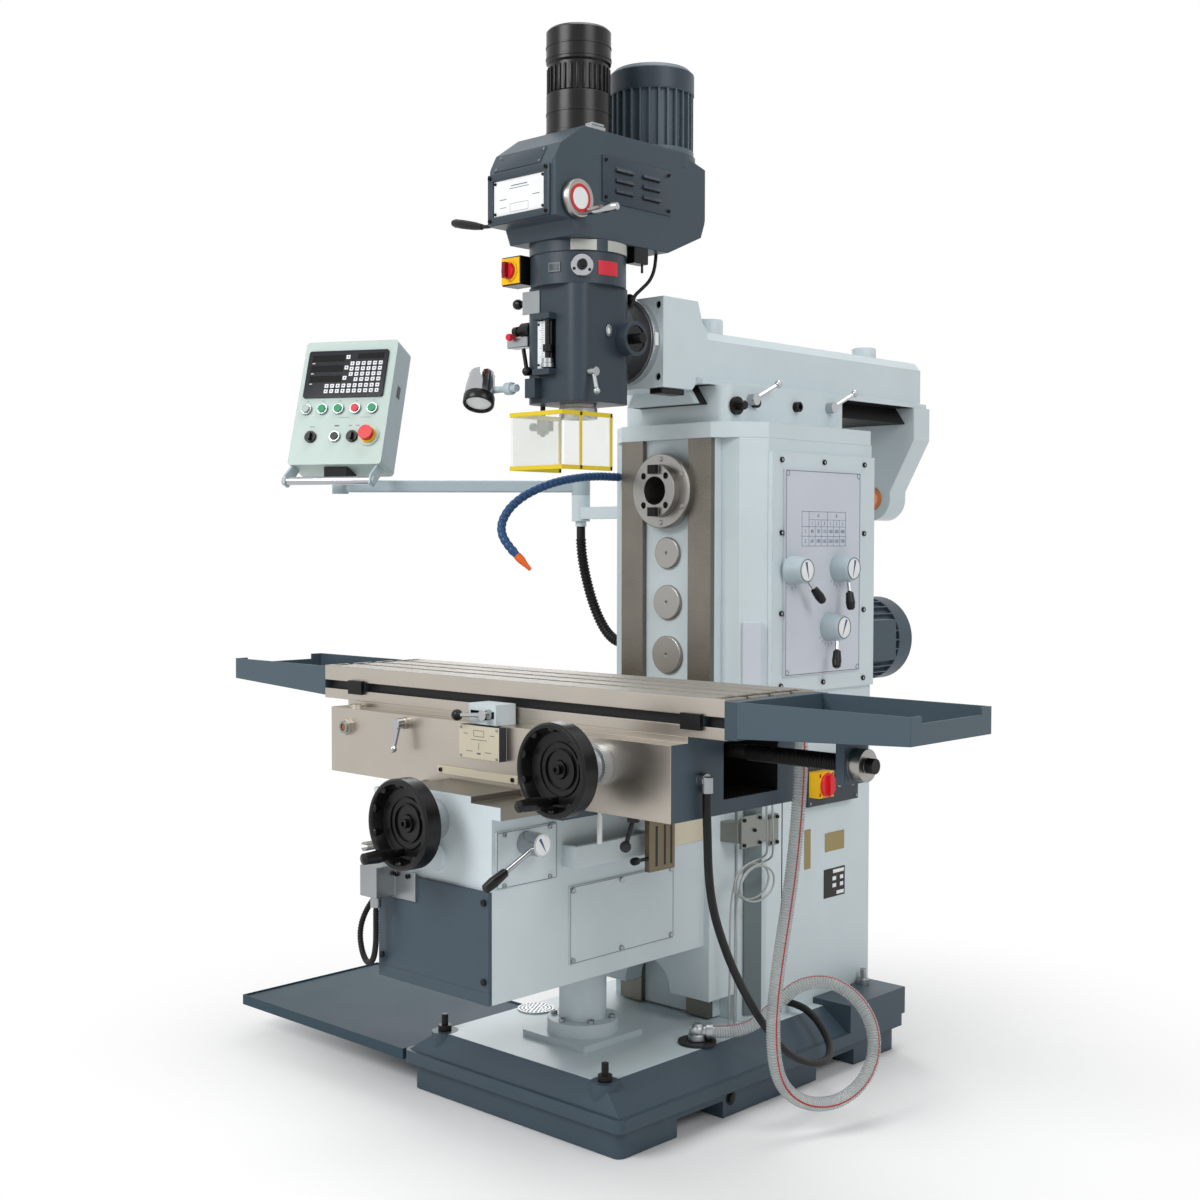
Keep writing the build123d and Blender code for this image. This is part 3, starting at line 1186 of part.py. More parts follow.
coolant_route = cord_path("coolant_pipe", [
    (-180, body_front, 1476), (-180, 0, 1476), (-177, -44, 1476), (-171, -98, 1473), (-167, -152, 1467),
    (-168, -206, 1458), (-176, -256, 1443), (-190, -304, 1420), (-200, -346, 1386), (-194, -376, 1344),
    (-166, -384, 1306), (-136, -370, 1274)])
coolant_pipe = ribbed(coolant_route, 10, 8, 4, 14, 22)
with BuildPart() as coolant_line:
    add(coolant_pipe.part)
    tip = section_plane(coolant_route, coolant_route.length, Vector(0, 0, 1))
    turned(tuple(tip.origin), tuple(tip.z_dir), [(4, 0), (8, 0), (8, 12), (3.5, 44), (2, 44)])
save(coolant_line, "coolant_pipe")
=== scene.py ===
# %% [markdown]
# A universal milling machine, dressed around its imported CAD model. The CAD gives every casting, slide and
# lever its shape and place. Here each of them gets its finish, and the small things that make it look real
# are modelled on top: screws, louvres, keys, scales, panes and hoses. All lengths are in metres, in the
# machine's own frame: X runs along the table to the right, Y from the operator to the column, Z up.

# %% Load the frame
import math

import bpy
from mathutils import Matrix, Vector


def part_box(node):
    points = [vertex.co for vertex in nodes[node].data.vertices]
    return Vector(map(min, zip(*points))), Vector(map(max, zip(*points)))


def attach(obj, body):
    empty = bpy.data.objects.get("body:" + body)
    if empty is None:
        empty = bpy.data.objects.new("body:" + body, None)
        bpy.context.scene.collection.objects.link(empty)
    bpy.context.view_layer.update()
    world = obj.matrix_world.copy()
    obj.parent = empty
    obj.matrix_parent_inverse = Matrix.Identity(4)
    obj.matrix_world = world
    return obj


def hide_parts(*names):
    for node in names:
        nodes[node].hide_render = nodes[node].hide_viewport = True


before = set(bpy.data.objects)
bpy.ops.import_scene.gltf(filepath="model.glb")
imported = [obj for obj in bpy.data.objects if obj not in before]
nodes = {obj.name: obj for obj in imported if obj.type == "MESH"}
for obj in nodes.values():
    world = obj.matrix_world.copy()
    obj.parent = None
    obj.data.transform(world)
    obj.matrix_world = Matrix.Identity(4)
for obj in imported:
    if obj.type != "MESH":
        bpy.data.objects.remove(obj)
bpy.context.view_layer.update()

# %% [markdown]
# The camera stands in front and to the right of the machine, a little above the table, with a lens of normal
# length. Its place and turn were solved from straight edges of the photograph, so the picture can be
# compared edge by edge.

# %% Camera
camera_data = bpy.data.cameras.new("camera")
camera_data.lens = 47.98
camera_data.sensor_width = 36
camera = bpy.data.objects.new("camera", camera_data)
camera.location = (2.6008, -2.9857, 1.3054)
camera.rotation_euler = (math.radians(87.99), math.radians(-0.1), math.radians(43.38))
bpy.context.scene.collection.objects.link(camera)
bpy.context.scene.camera = camera
bpy.context.scene.view_settings.view_transform = "Standard"
print("camera at", tuple(camera.location))

# %% [markdown]
# Materials are written as Python arithmetic. `Value` wraps a socket, so that `1 - mask` or `(z > 0.1) * (y <
# 0.3)` adds the Math nodes it needs. `Nodes` adds any other node to a tree, and `Finish` builds one material
# with it. A casting is often painted in one colour and ground in another place, so a finish takes zones: an
# expression of the place on the machine, and the surface that it has there.

# %% A socket that does arithmetic
class Value:
    """A number that flows through a material's nodes."""

    def __init__(self, tree, socket):
        self.tree = tree
        self.socket = socket

    def step(self, operation, first, second=None):
        node = self.tree.nodes.new("ShaderNodeMath")
        node.operation = operation
        for place, term in enumerate((first, second)):
            if isinstance(term, Value):
                self.tree.links.new(term.socket, node.inputs[place])
            elif term is not None:
                node.inputs[place].default_value = term
        return Value(self.tree, node.outputs[0])

    def __add__(self, other):
        return self.step("ADD", self, other)

    __radd__ = __add__

    def __sub__(self, other):
        return self.step("SUBTRACT", self, other)

    def __rsub__(self, other):
        return self.step("SUBTRACT", other, self)

    def __mul__(self, other):
        return self.step("MULTIPLY", self, other)

    __rmul__ = __mul__

    def __lt__(self, other):
        return self.step("LESS_THAN", self, other)

    def __gt__(self, other):
        return self.step("GREATER_THAN", self, other)

    def __abs__(self):
        return self.step("ABSOLUTE", self)


def square(value):
    return value * value


class Nodes:
    """A node tree: nodes are added through `node`, and a term is linked or set as it comes."""

    def __init__(self, tree):
        self.tree = tree

    def node(self, kind, settings=None, inputs=None, output=0):
        made = self.tree.nodes.new(kind)
        for key, setting in (settings or {}).items():
            setattr(made, key, setting)
        for key, term in (inputs or {}).items():
            self.feed(made.inputs[key], term)
        return Value(self.tree, made.outputs[output])

    def feed(self, socket, term):
        if isinstance(term, Value):
            self.tree.links.new(term.socket, socket)
        elif isinstance(term, tuple) and len(term) == 3 and socket.type == "RGBA":
            socket.default_value = (*term, 1)
        else:
            socket.default_value = term

    def seen(self):
        """1 for what the camera, a reflection or a clear pane sees, and 0 for light that falls on things."""
        camera_ray, glossy_ray, clear_ray = [self.node("ShaderNodeLightPath", output=f"Is {kind} Ray")
                                             for kind in ("Camera", "Glossy", "Transmission")]
        return camera_ray + glossy_ray + clear_ray > 0.5


class Finish(Nodes):
    """One material, with the place on the machine at hand as x, y and z."""

    def __init__(self, name):
        self.material = bpy.data.materials.new(name)
        self.material.use_nodes = True
        super().__init__(self.material.node_tree)
        self.shader = self.tree.nodes["Principled BSDF"]
        self.place = self.node("ShaderNodeTexCoord", output="Object")
        self.x, self.y, self.z = self.parts(self.place)

    def shade(self, **terms):
        """Feed the shader's sockets, named in words joined by underscores."""
        for name, term in terms.items():
            self.feed(self.shader.inputs[name.replace("_", " ")], term)

    def parts(self, vector):
        """The three numbers of a vector."""
        return [self.node("ShaderNodeSeparateXYZ", inputs={0: vector}, output=axis) for axis in range(3)]

    def blend(self, mask, first, second):
        """A colour that is the first where the mask is 0 and the second where it is 1."""
        return self.node("ShaderNodeMix", {"data_type": "RGBA"}, {0: mask, 6: first, 7: second}, output=2)

    def noise(self, scale, stretch=(1, 1, 1), detail=2.0):
        place = self.node("ShaderNodeMapping", inputs={0: self.place, 3: stretch})
        return self.node("ShaderNodeTexNoise", inputs={"Vector": place, "Scale": scale, "Detail": detail})

    def vector(self, operation, output, *terms):
        """One step of arithmetic with vectors."""
        return self.node("ShaderNodeVectorMath", {"operation": operation}, dict(enumerate(terms)), output)

    def along(self, direction, origin):
        """How far a place lies from an origin along a direction."""
        offset = self.vector("SUBTRACT", 0, self.place, tuple(origin))
        return self.vector("DOT_PRODUCT", "Value", offset, tuple(direction))

    def round_x(self, y, z):
        """The square of the distance from a line along X."""
        return square(self.y - y) + square(self.z - z)

    def round_y(self, x, z):
        """The square of the distance from a line along Y."""
        return square(self.x - x) + square(self.z - z)


def screen(red, green, blue):
    """A colour as a screen shows it, turned into the light that a material is set in."""
    return tuple(part / 255 / 12.92 if part <= 10 else ((part / 255 + 0.055) / 1.055) ** 2.4
                 for part in (red, green, blue))


# %% [markdown]
# Each surface is a colour, a roughness, whether it is metal, and how strong three kinds of relief are on it:
# the orange-peel skin of sprayed paint, the coarse skin of a casting under its paint, and the fine lines of
# grinding. Mottle is how much the colour drifts from place to place.

# %% The surfaces of the machine
def surface(colour, rough, metal=0.0, peel=0.0, cast=0.0, lines=0.0, mottle=0.06):
    return {"colour": screen(*colour), "rough": rough, "metal": metal, "peel": peel, "cast": cast,
            "lines": lines, "mottle": mottle}


white_paint = surface((206, 218, 222), 0.36, peel=0.25, cast=0.35)
panel_white = surface((204, 209, 218), 0.42, peel=0.2)
gray_paint = surface((62, 77, 88), 0.4, peel=0.3, cast=0.5)
head_paint = surface((50, 61, 70), 0.38, peel=0.25, cast=0.6)
housing_paint = surface((60, 73, 82), 0.38, peel=0.25, cast=0.6)
gray_sheet = surface((72, 88, 98), 0.4, peel=0.3)
tray_paint = surface((48, 68, 80), 0.6, peel=0.3)
motor_paint = surface((84, 98, 107), 0.4, peel=0.25, cast=0.4)
pendant_white = surface((192, 209, 203), 0.46, peel=0.35)
arm_gray = surface((172, 187, 193), 0.38, peel=0.25)
ground_steel = surface((184, 177, 167), 0.34, metal=1.0, lines=0.5, mottle=0.1)
way_steel = surface((150, 140, 126), 0.38, metal=1.0, lines=0.6, mottle=0.16)
turned_steel = surface((160, 158, 154), 0.3, metal=1.0, lines=0.3, mottle=0.08)
dark_steel = surface((92, 88, 84), 0.4, metal=1.0, lines=0.3, mottle=0.2)
table_steel = surface((142, 139, 132), 0.55, metal=0.5, lines=0.5, mottle=0.12)
column_steel = surface((122, 118, 110), 0.32, metal=1.0, lines=2.4, mottle=0.24)
knee_steel = surface((134, 131, 124), 0.36, metal=1.0, lines=0.6, mottle=0.14)
zinc = surface((158, 162, 164), 0.34, metal=1.0, mottle=0.2)
chrome = surface((178, 180, 183), 0.15, metal=1.0, mottle=0.04)
bronze = surface((196, 128, 84), 0.3, metal=1.0, lines=0.4, mottle=0.12)
dial_gray = surface((178, 183, 186), 0.34, metal=0.7, lines=0.3)
cream_plate = surface((208, 200, 178), 0.36, metal=0.3, lines=0.2, mottle=0.08)
# Near black, painted as shade into the saddle's hollow ends and under the ram.
painted_shade_black = surface((20, 19, 19), 0.6, mottle=0.1)
black_plastic = surface((13, 13, 14), 0.3, peel=0.15, mottle=0.12)
black_iron = surface((38, 38, 40), 0.45, peel=0.2, cast=0.3, mottle=0.15)
black_oxide = surface((34, 33, 33), 0.36, metal=0.6, mottle=0.15)
dark_panel = surface((50, 56, 64), 0.4, peel=0.1)
display_black = surface((24, 26, 34), 0.16, mottle=0.05)
# Glossy black for display windows, also laid as painted shade in slots and holes.
black_glass_and_shade = surface((14, 13, 13), 0.08, mottle=0.02)
green_plastic = surface((22, 142, 92), 0.24, mottle=0.05)
red_plastic = surface((216, 34, 44), 0.24, mottle=0.05)
deep_red = surface((140, 22, 34), 0.26, mottle=0.05)
yellow_plastic = surface((244, 190, 20), 0.3, mottle=0.05)
guard_yellow = surface((222, 196, 40), 0.34, peel=0.1)
clean_white = surface((236, 238, 238), 0.3, mottle=0.03)
bezel_gray = surface((178, 188, 184), 0.34, mottle=0.05)


def dressed(name, plain, zones=(), lines_along=(1, 40, 40), edge=0.0025):
    """A material with one plain surface and others in its zones, each given as (mask, surface)."""
    finish = Finish(name)
    masks = [(mask(finish), other) for mask, other in zones]

    def settle(key):
        value = plain[key]
        for mask, other in masks:
            if value != other[key]:
                value = mask * (other[key] - value) + value
        return value

    colour = plain["colour"]
    for mask, other in masks:
        colour = finish.blend(mask, colour, other["colour"])
    cloud = finish.noise(7.0, detail=4.0)
    grain = finish.noise(160.0, lines_along, 3.0)
    drift = (cloud - 0.5) * settle("mottle") * 2 + (grain - 0.5) * settle("lines") * 0.25 + 1
    tint = finish.node("ShaderNodeVectorMath", {"operation": "SCALE"}, {0: colour, "Scale": drift})
    rough = (cloud - 0.5) * 0.16 + (grain - 0.5) * settle("lines") * 0.3 + settle("rough")
    skin = finish.noise(420.0) * settle("peel") + finish.noise(45.0, detail=3.0) * settle("cast") * 2
    relief = {"Strength": 0.12, "Distance": 0.002, "Height": skin + grain * settle("lines") * 0.5}
    if edge:
        relief["Normal"] = finish.node("ShaderNodeBevel", {"samples": 4}, {"Radius": edge})
    finish.shade(Base_Color=tint, Metallic=settle("metal"), Roughness=rough, Specular_IOR_Level=0.28,
                 Normal=finish.node("ShaderNodeBump", inputs=relief))
    return finish.material


def dress(node, plain, zones=(), **more):
    """Give a CAD node its finish."""
    materials = nodes[node].data.materials
    materials.clear()
    materials.append(dressed(node, plain, zones, **more))


fine_edge = {"edge": 0.001}

# %% [markdown]
# The frame of the machine. The base is dark with a white deck, and the column is white with two ground ways
# in front. A zone is an expression of the place: the deck, for one, is what lies above 144 mm in front of
# the rear block.

# %% Finish the base and the column
dress("base", gray_paint, [
    (lambda p: (p.z > 0.1445) * (p.y < 0.2995), white_paint),
    (lambda p: (p.z < 0.1475) * (square(abs(p.x) - 0.262) + square(abs(p.y) - 0.492) < 0.0321 ** 2),
     gray_paint)])
dress("base_fittings", white_paint, [
    (lambda p: abs(p.y) > 0.45, black_oxide),
    (lambda p: (p.x > 0.185) * (p.y > -0.2), zinc),
    (lambda p: (p.x > 0.185) * (p.y > -0.2) * (p.z < 0.1512), black_iron),
    (lambda p: (p.x < -0.18) * (p.y > -0.3) * (p.y < -0.1), zinc)])
dress("splash_tray", tray_paint)
dress("column", white_paint, [
    (lambda p: (abs(p.x) > 0.0738) * (abs(p.x) < 0.1462) * (p.y < 0.016), column_steel)],
    lines_along=(40, 40, 1))
dress("column_covers", white_paint, [
    (lambda p: (abs(p.x) < 0.1) * (p.y < 0.016), turned_steel),
    (lambda p: (p.x > 0.2405) * (p.z < 0.77), dark_panel),
    (lambda p: (p.x > 0.2665) * (p.z < 0.77) * (p.y < 0.31), yellow_plastic),
    (lambda p: (p.x > 0.2545) * (p.z > 0.8), panel_white)])
dress("drive_motor", gray_paint)
dress("horizontal_spindle", turned_steel, [(lambda p: p.y < -0.0402, black_oxide)])
print("base and column finished")

# %% [markdown]
# A selector has a painted hub, a chrome lever and a black grip. The grip is what lies far enough from the
# hub's axis. Its faces could be picked one by one, but a round zone holds for all three levers and needs
# only the place of each hub.

# %% Finish the selectors and switches of the column
selector_places = ((0.168, 1.242), (0.365, 1.245), (0.325, 1.098))
for number, (y, z) in enumerate(selector_places, 1):
    dress(f"gear_lever_{number}", arm_gray, [
        (lambda p, y=y, z=z: p.round_x(y, z) > 0.0368 ** 2, chrome),
        (lambda p, y=y, z=z: p.round_x(y, z) > 0.057 ** 2, black_plastic)], **fine_edge)
dress("main_switch", red_plastic, **fine_edge)
dress("column_start_button", green_plastic, **fine_edge)
dress("column_stop_button", clean_white, **fine_edge)
print(len(selector_places), "selectors finished")

# %% [markdown]
# The knee, the saddle and the table slide on each other, so what meets is ground steel and the rest is
# paint. The limits of the zones are the heights and sides of these ways, so the castings stay whole and no
# face is picked by hand.

# %% Finish the knee, the saddle and the table
dress("knee", white_paint, [(lambda p: (p.z > 0.7345) * (p.y > -0.7475), knee_steel)])
dress("knee_covers", white_paint, [
    (lambda p: (p.x > 0.1842) * (p.y > -0.55), zinc),
    (lambda p: p.y < -0.7485, gray_paint),
    (lambda p: p.y < -0.7572, black_oxide),
    (lambda p: (p.y < -0.7572) * (p.z > 0.505) * (p.x < 0.1), zinc)])
dress("elevating_screw", dark_steel)
dress("knee_crank", turned_steel, **fine_edge)
dress("cross_handwheel", black_plastic, [(lambda p: p.y > -0.8032, dial_gray)], edge=0.0015)
dress("traverse_handwheel", black_plastic, [(lambda p: p.y > -0.6622, dial_gray)], edge=0.0015)
dress("knee_feed_lever", chrome, [
    (lambda p: p.round_x(-0.656, 0.676) > 0.109 ** 2, black_plastic)], **fine_edge)
dress("saddle", ground_steel, [
    (lambda p: abs(p.x) > 0.5468, gray_paint),
    (lambda p: (p.x > 0.5472) * (p.x < 0.58) * (abs(p.y + 0.516) < 0.0145) * (p.z < 0.85), zinc),
    (lambda p: (p.z > 0.9085) * (p.y < -0.5565) * (abs(p.x) < 0.1), white_paint),
    (lambda p: (p.y < -0.6075) * (p.x > -0.1) * (p.z < 0.9085), dark_panel),
    (lambda p: (p.y < -0.6287) * (p.x > -0.1), cream_plate),
    (lambda p: p.z < 0.7515, gray_paint),
    # Painted shade: the walls inside the saddle's hollow ends are near black, as the shade that falls in
    # them.
    (lambda p: (abs(p.x) > 0.25) * (abs(p.x) < 0.5465) * (p.y > -0.59) * (p.y < -0.215) * (p.z > 0.765)
     * (p.z < 0.895), painted_shade_black)])
dress("table_feed_lever", chrome, [(lambda p: p.x < -0.029, black_plastic)], **fine_edge)
dress("table_clamp_lever", chrome, **fine_edge)
dress("saddle_clamp_lever", black_iron, **fine_edge)
dress("table", ground_steel, [
    (lambda p: (p.z < 0.9835) * (p.y > -0.52), way_steel),
    (lambda p: p.z > 1.0015, table_steel),
    (lambda p: (abs(p.z - 0.9555) < 0.0107) * (p.y > -0.5555) * (p.y < -0.5375), black_iron)])
dress("table_trays", gray_sheet)
dress("table_fittings", gray_paint, [
    (lambda p: (p.z < 0.9) * (p.x < 0.826), dark_steel),
    (lambda p: p.x > 0.8462, turned_steel),
    (lambda p: p.x > 0.8732, black_oxide),
    (lambda p: (p.y < -0.5562) * (p.x < 0.63), black_oxide),
    (lambda p: (p.y > -0.2558) * (p.x < 0.62), black_iron)])
print("knee, saddle and table finished")

# %% [markdown]
# The turret, the ram and the head. The bush of the arbor support is bronze, and the flange between the ram
# and the head is a black disc with a light ring behind it, which carries the degree scale.

# %% Finish the turret, the ram and the head
dress("turret", white_paint)
# Painted shade: the ram's underside behind its front is near black, as the shadow in the gap below it.
dress("ram", white_paint, [(lambda p: (p.z < 1.6905) * (p.y > 0.0), painted_shade_black)])
dress("ram_pinion", black_oxide, **fine_edge)
dress("ram_clamp_front", chrome, **fine_edge)
dress("ram_clamp_rear", chrome, **fine_edge)
dress("arbor_support", white_paint, [(lambda p: p.round_y(0, 1.436) < 0.0342 ** 2, bronze)])
dress("head_body", head_paint, [
    (lambda p: (p.y > -0.2155) * (p.x < 0.1), black_iron),
    (lambda p: p.y > -0.1602, dial_gray),
    (lambda p: (p.y < -0.4007) * (p.x > -0.002) * (p.x < 0.02) * (p.z > 1.705) * (p.z < 1.815), black_oxide),
    (lambda p: (p.y < -0.4007) * (p.x < -0.006) * (p.z > 1.705) * (p.z < 1.815), clean_white),
    (lambda p: (p.x < -0.0779) * (p.y < -0.3699) * (p.z > 1.9025), black_plastic),
    (lambda p: (p.x < -0.1035) * (p.z < 1.649), black_oxide)])
dress("belt_housing", housing_paint, edge=0.005)
dress("head_motor", motor_paint)
dress("drawbar_unit", black_plastic)
dress("quill", turned_steel)
dress("vertical_spindle", turned_steel)
dress("quill_pinion", black_oxide)
dress("quill_lock_lever", zinc, **fine_edge)
dress("head_switch_knob", deep_red, [(lambda p: p.y > -0.4262, yellow_plastic)], **fine_edge)
print("turret, ram and head finished")

# %% [markdown]
# The pendant's face is turned and leans back, so its finishes are placed along its own axes: to the right,
# up and out. A dot product with each axis gives the distance along it, which spares turning the mesh.

# %% Finish the pendant
pendant_place = Vector((-0.909, -0.29, 1.69))
pendant_turn = math.radians(27)
pendant_lean = math.radians(20)
face_right = Vector((math.cos(pendant_turn), math.sin(pendant_turn), 0))
face_out = Vector((math.sin(pendant_turn) * math.cos(pendant_lean),
                   -math.cos(pendant_turn) * math.cos(pendant_lean), math.sin(pendant_lean)))
face_up = face_out.cross(face_right)


def across(p):
    return p.along(face_right, pendant_place)


def above(p):
    return p.along(face_up, pendant_place)


def out(p):
    return p.along(face_out, pendant_place)


dress("pendant", pendant_white, [
    (lambda p: (out(p) > 0.0002) * (above(p) > -0.005), display_black),
    (lambda p: (out(p) > 0.0002) * (above(p) < -0.005), dial_gray),
    (lambda p: (across(p) > 0.06) * (above(p) < -0.07), pendant_white),
    (lambda p: out(p) > 0.0042, bezel_gray),
    (lambda p: (out(p) > 0.0042) * (above(p) > 0.0), display_black),
    (lambda p: across(p) > 0.1368, arm_gray),
    (lambda p: above(p) < -0.1836, chrome),
    (lambda p: (above(p) < -0.1836) * (abs(across(p)) > 0.1205), arm_gray)])
dress("pendant_arm", arm_gray)
for plastic, names in ((green_plastic, ("start_green", "coolant_green", "feed_green")),
                       (red_plastic, ("stop_red", "emergency_stop")),
                       (black_plastic, ("jog_black", "selector_left", "selector_right"))):
    for name in names:
        dress(f"pendant_{name}", plastic, **fine_edge)
print("pendant finished")

# %% [markdown]
# New pieces start from a primitive, which is then extruded, inset and bevelled in edit mode, as by hand.
# They are modelled standing on the origin along Z and then set on their place, so that the place ends up in
# the mesh.

# %% Modelling helpers
def stand(place, out=(0, 0, 1), right=None):
    """The matrix that sets a piece on a place, facing out, with its X axis to the right."""
    out = Vector(out).normalized()
    if right is None:
        right = Vector((0, 0, 1)).cross(out) if abs(out.z) < 0.9 else Vector((1, 0, 0))
    right = Vector(right).normalized()
    turn = Matrix((right, out.cross(right), out)).transposed()
    return Matrix.Translation(Vector(place)) @ turn.to_4x4()


def shift(x, y, z):
    return Matrix.Translation((x, y, z))


def turned(degrees, axis="Z"):
    return Matrix.Rotation(math.radians(degrees), 4, axis)


def begin(primitive, scale=(1, 1, 1), **settings):
    """Add a primitive and apply its place and scale to its mesh."""
    bpy.ops.object.select_all(action="DESELECT")
    primitive(**settings)
    bpy.context.object.scale = scale
    bpy.ops.object.transform_apply(location=True, rotation=True, scale=True)
    return bpy.context.object


def pick(piece, test):
    """Select the faces that pass a test of their centre and normal, and stay in edit mode."""
    bpy.ops.object.mode_set(mode="EDIT")
    bpy.ops.mesh.select_mode(type="FACE")
    bpy.ops.mesh.select_all(action="DESELECT")
    bpy.ops.object.mode_set(mode="OBJECT")
    for face in piece.data.polygons:
        face.select = test(face.center, face.normal)
    bpy.ops.object.mode_set(mode="EDIT")


def all_faces():
    """Enter edit mode with everything selected."""
    bpy.ops.object.mode_set(mode="EDIT")
    bpy.ops.mesh.select_all(action="SELECT")


def push(distance):
    """Extrude the selected faces along Z."""
    bpy.ops.mesh.extrude_region_move(TRANSFORM_OT_translate={"value": (0, 0, distance)})


def closed(piece, place=Matrix()):
    """Leave edit mode, with faces turned outwards and round ones smooth, and set the piece on its place."""
    all_faces()
    bpy.ops.mesh.remove_doubles(threshold=1e-6)
    bpy.ops.mesh.normals_make_consistent(inside=False)
    bpy.ops.object.mode_set(mode="OBJECT")
    bpy.ops.object.shade_smooth_by_angle(angle=math.radians(35))
    piece.data.transform(place)
    return piece


def plate(width, depth, height, bevel=0.001, segments=2, place=Matrix()):
    """A block standing on the origin with broken edges."""
    piece = begin(bpy.ops.mesh.primitive_cube_add, (width, depth, height), size=1,
                  location=(0, 0, height / 2))
    all_faces()
    bpy.ops.mesh.bevel(offset=bevel, segments=segments, affect="EDGES")
    return closed(piece, place)


def lathe(rings, segments=32, place=Matrix()):
    """A turned piece: a disc extruded and resized from ring to ring, each (radius, height)."""
    piece = begin(bpy.ops.mesh.primitive_circle_add, vertices=segments, radius=rings[0][0], fill_type="NGON",
                  location=(0, 0, rings[0][1]))
    all_faces()
    for (before, low), (radius, high) in zip(rings, rings[1:]):
        push(high - low)
        share = radius / before
        bpy.ops.transform.resize(value=(share, share, 1), center_override=(0, 0, high))
    return closed(piece, place)


def cap_screw(radius, height, place=Matrix()):
    """A socket head: a round head with a hexagon pressed into it."""
    piece = begin(bpy.ops.mesh.primitive_cylinder_add, vertices=18, radius=radius, depth=height,
                  location=(0, 0, height / 2))
    pick(piece, lambda centre, normal: normal.z > 0.9)
    bpy.ops.mesh.inset(thickness=radius * 0.12, depth=radius * 0.1)
    bpy.ops.mesh.inset(thickness=radius * 0.32)
    push(-height * 0.55)
    return closed(piece, place)


def sleeve(outer, bore, height, sides=28, place=Matrix()):
    """A ring: a cylinder whose ends are inset, with a bore cut through by bridging the two inner faces."""
    piece = begin(bpy.ops.mesh.primitive_cylinder_add, vertices=sides, radius=outer, depth=height,
                  location=(0, 0, height / 2))
    pick(piece, lambda centre, normal: abs(normal.z) > 0.9)
    lip = min(0.0006, (outer - bore) / 4)
    bpy.ops.mesh.inset(thickness=lip, depth=lip)
    bpy.ops.mesh.inset(thickness=outer - bore - lip)
    bpy.ops.mesh.bridge_edge_loops()
    return closed(piece, place)


def bar(start, end, width, depth, side, bevel=0.0006):
    """A bevelled bar between two points, its width along the side given."""
    run = Vector(end) - Vector(start)
    return plate(width, depth, run.length, bevel, 1, stand(start, run, side))


def joined(pieces):
    """Several pieces as one mesh."""
    bpy.ops.object.select_all(action="DESELECT")
    for piece in pieces:
        piece.select_set(True)
    bpy.context.view_layer.objects.active = pieces[0]
    if len(pieces) > 1:
        bpy.ops.object.join()
    return bpy.context.view_layer.objects.active


def copies(piece, matrices):
    """The piece, copied to each place and joined into one mesh; the first model is used up."""
    made = []
    for matrix in matrices:
        copy = piece.copy()
        copy.data = piece.data.copy()
        copy.data.transform(matrix)
        bpy.context.scene.collection.objects.link(copy)
        made.append(copy)
    bpy.data.objects.remove(piece)
    return joined(made)


# %% [markdown]
# Small pieces are coated in one surface each. A coat is named once, with a slot name beside it, and every
# piece that has it shares its material. Fitting a piece names it, coats it and lets it ride a body.

# %% Coats of the small pieces
coats = {}
for coat, plain, slot in (
        ("black_screw", black_oxide, "black_plastic"),
        ("bright_zinc", zinc, "chrome"),
        # black mouldings, and the black bar of painted shade under the ram's nose
        ("black_moulding_and_shade", black_plastic, "black_plastic"),
        # glossy black windows, and painted shade in slots and holes
        ("black_glass_and_shade", black_glass_and_shade, "black_plastic"),
        ("mark_gray", surface((92, 104, 108), 0.5), "black_plastic"),
        ("line_blue", surface((72, 92, 132), 0.45), "black_plastic"),
        ("legend_blue", surface((52, 70, 120), 0.4), "black_plastic"),
        ("sight_dark", surface((58, 66, 70), 0.2), "black_plastic"),
        ("plate_white", clean_white, "white_plastic"),
        ("box_white", panel_white, "white_plastic"),
        ("strip_cream", cream_plate, "white_plastic"),
        ("rail_white", white_paint, "white_paint"),
        ("head_gray", head_paint, "gray_paint"),
        ("knuckle_gray", arm_gray, "gray_paint"),
        ("skirt_gray", gray_paint, "gray_paint"),
        ("tray_gray", tray_paint, "gray_paint"),
        ("strip_gray", surface((104, 116, 118), 0.4, 0.5, mottle=0.1), "gray_paint"),
        ("bright_chrome", chrome, "chrome"),
        ("crank_steel", turned_steel, "chrome"),
        ("frosted", surface((232, 236, 238), 0.18, mottle=0.02), "chrome"),
        ("bezel_silver", surface((142, 151, 151), 0.24, 0.9, mottle=0.04), "chrome"),
        ("brass_plate", surface((146, 131, 90), 0.36, 0.7, mottle=0.14), "chrome"),
        ("trip_bronze", surface((116, 106, 86), 0.42, 0.7, mottle=0.2), "chrome"),
        ("reader_gray", surface((132, 134, 130), 0.4, 0.7, mottle=0.14), "chrome"),
        ("neck_silver", surface((170, 172, 166), 0.46, 0.3), "chrome"),
        ("sight_gray", surface((92, 100, 104), 0.4, 0.2), "chrome"),
        ("knob_red", red_plastic, "red"),
        ("lock_red", deep_red, "red"),
        ("ring_red", surface((196, 52, 56), 0.35), "red"),
        ("enamel_red", surface((206, 44, 60), 0.34), "red"),
        ("sight_amber", surface((150, 84, 44), 0.1, mottle=0.2), "red"),
        ("switch_yellow", yellow_plastic, "guard"),
        ("guard_yellow", guard_yellow, "guard"),
        ("orange_plastic", surface((226, 98, 34), 0.34, mottle=0.05), "coolant"),
        ("pipe_blue", surface((38, 74, 116), 0.34, peel=0.1, mottle=0.12), "coolant"),
        ("black_conduit", surface((12, 12, 13), 0.5, peel=0.3, mottle=0.15), "conduit"),
        ("cable_gray", surface((168, 170, 168), 0.4, 0.4, mottle=0.1), "conduit"),
        ("thread_black", black_oxide, "ground_steel")):
    coats[coat] = dressed(coat, plain, edge=0), slot
print(len(coats), "coats")


def settle_in(piece, name, body, coat):
    """Name a piece, coat it and let it ride its body."""
    material, slot = coats[coat]
    piece.name = name
    piece.data.name = name
    piece.data.materials.clear()
    piece.data.materials.append(material)
    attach(piece, body)


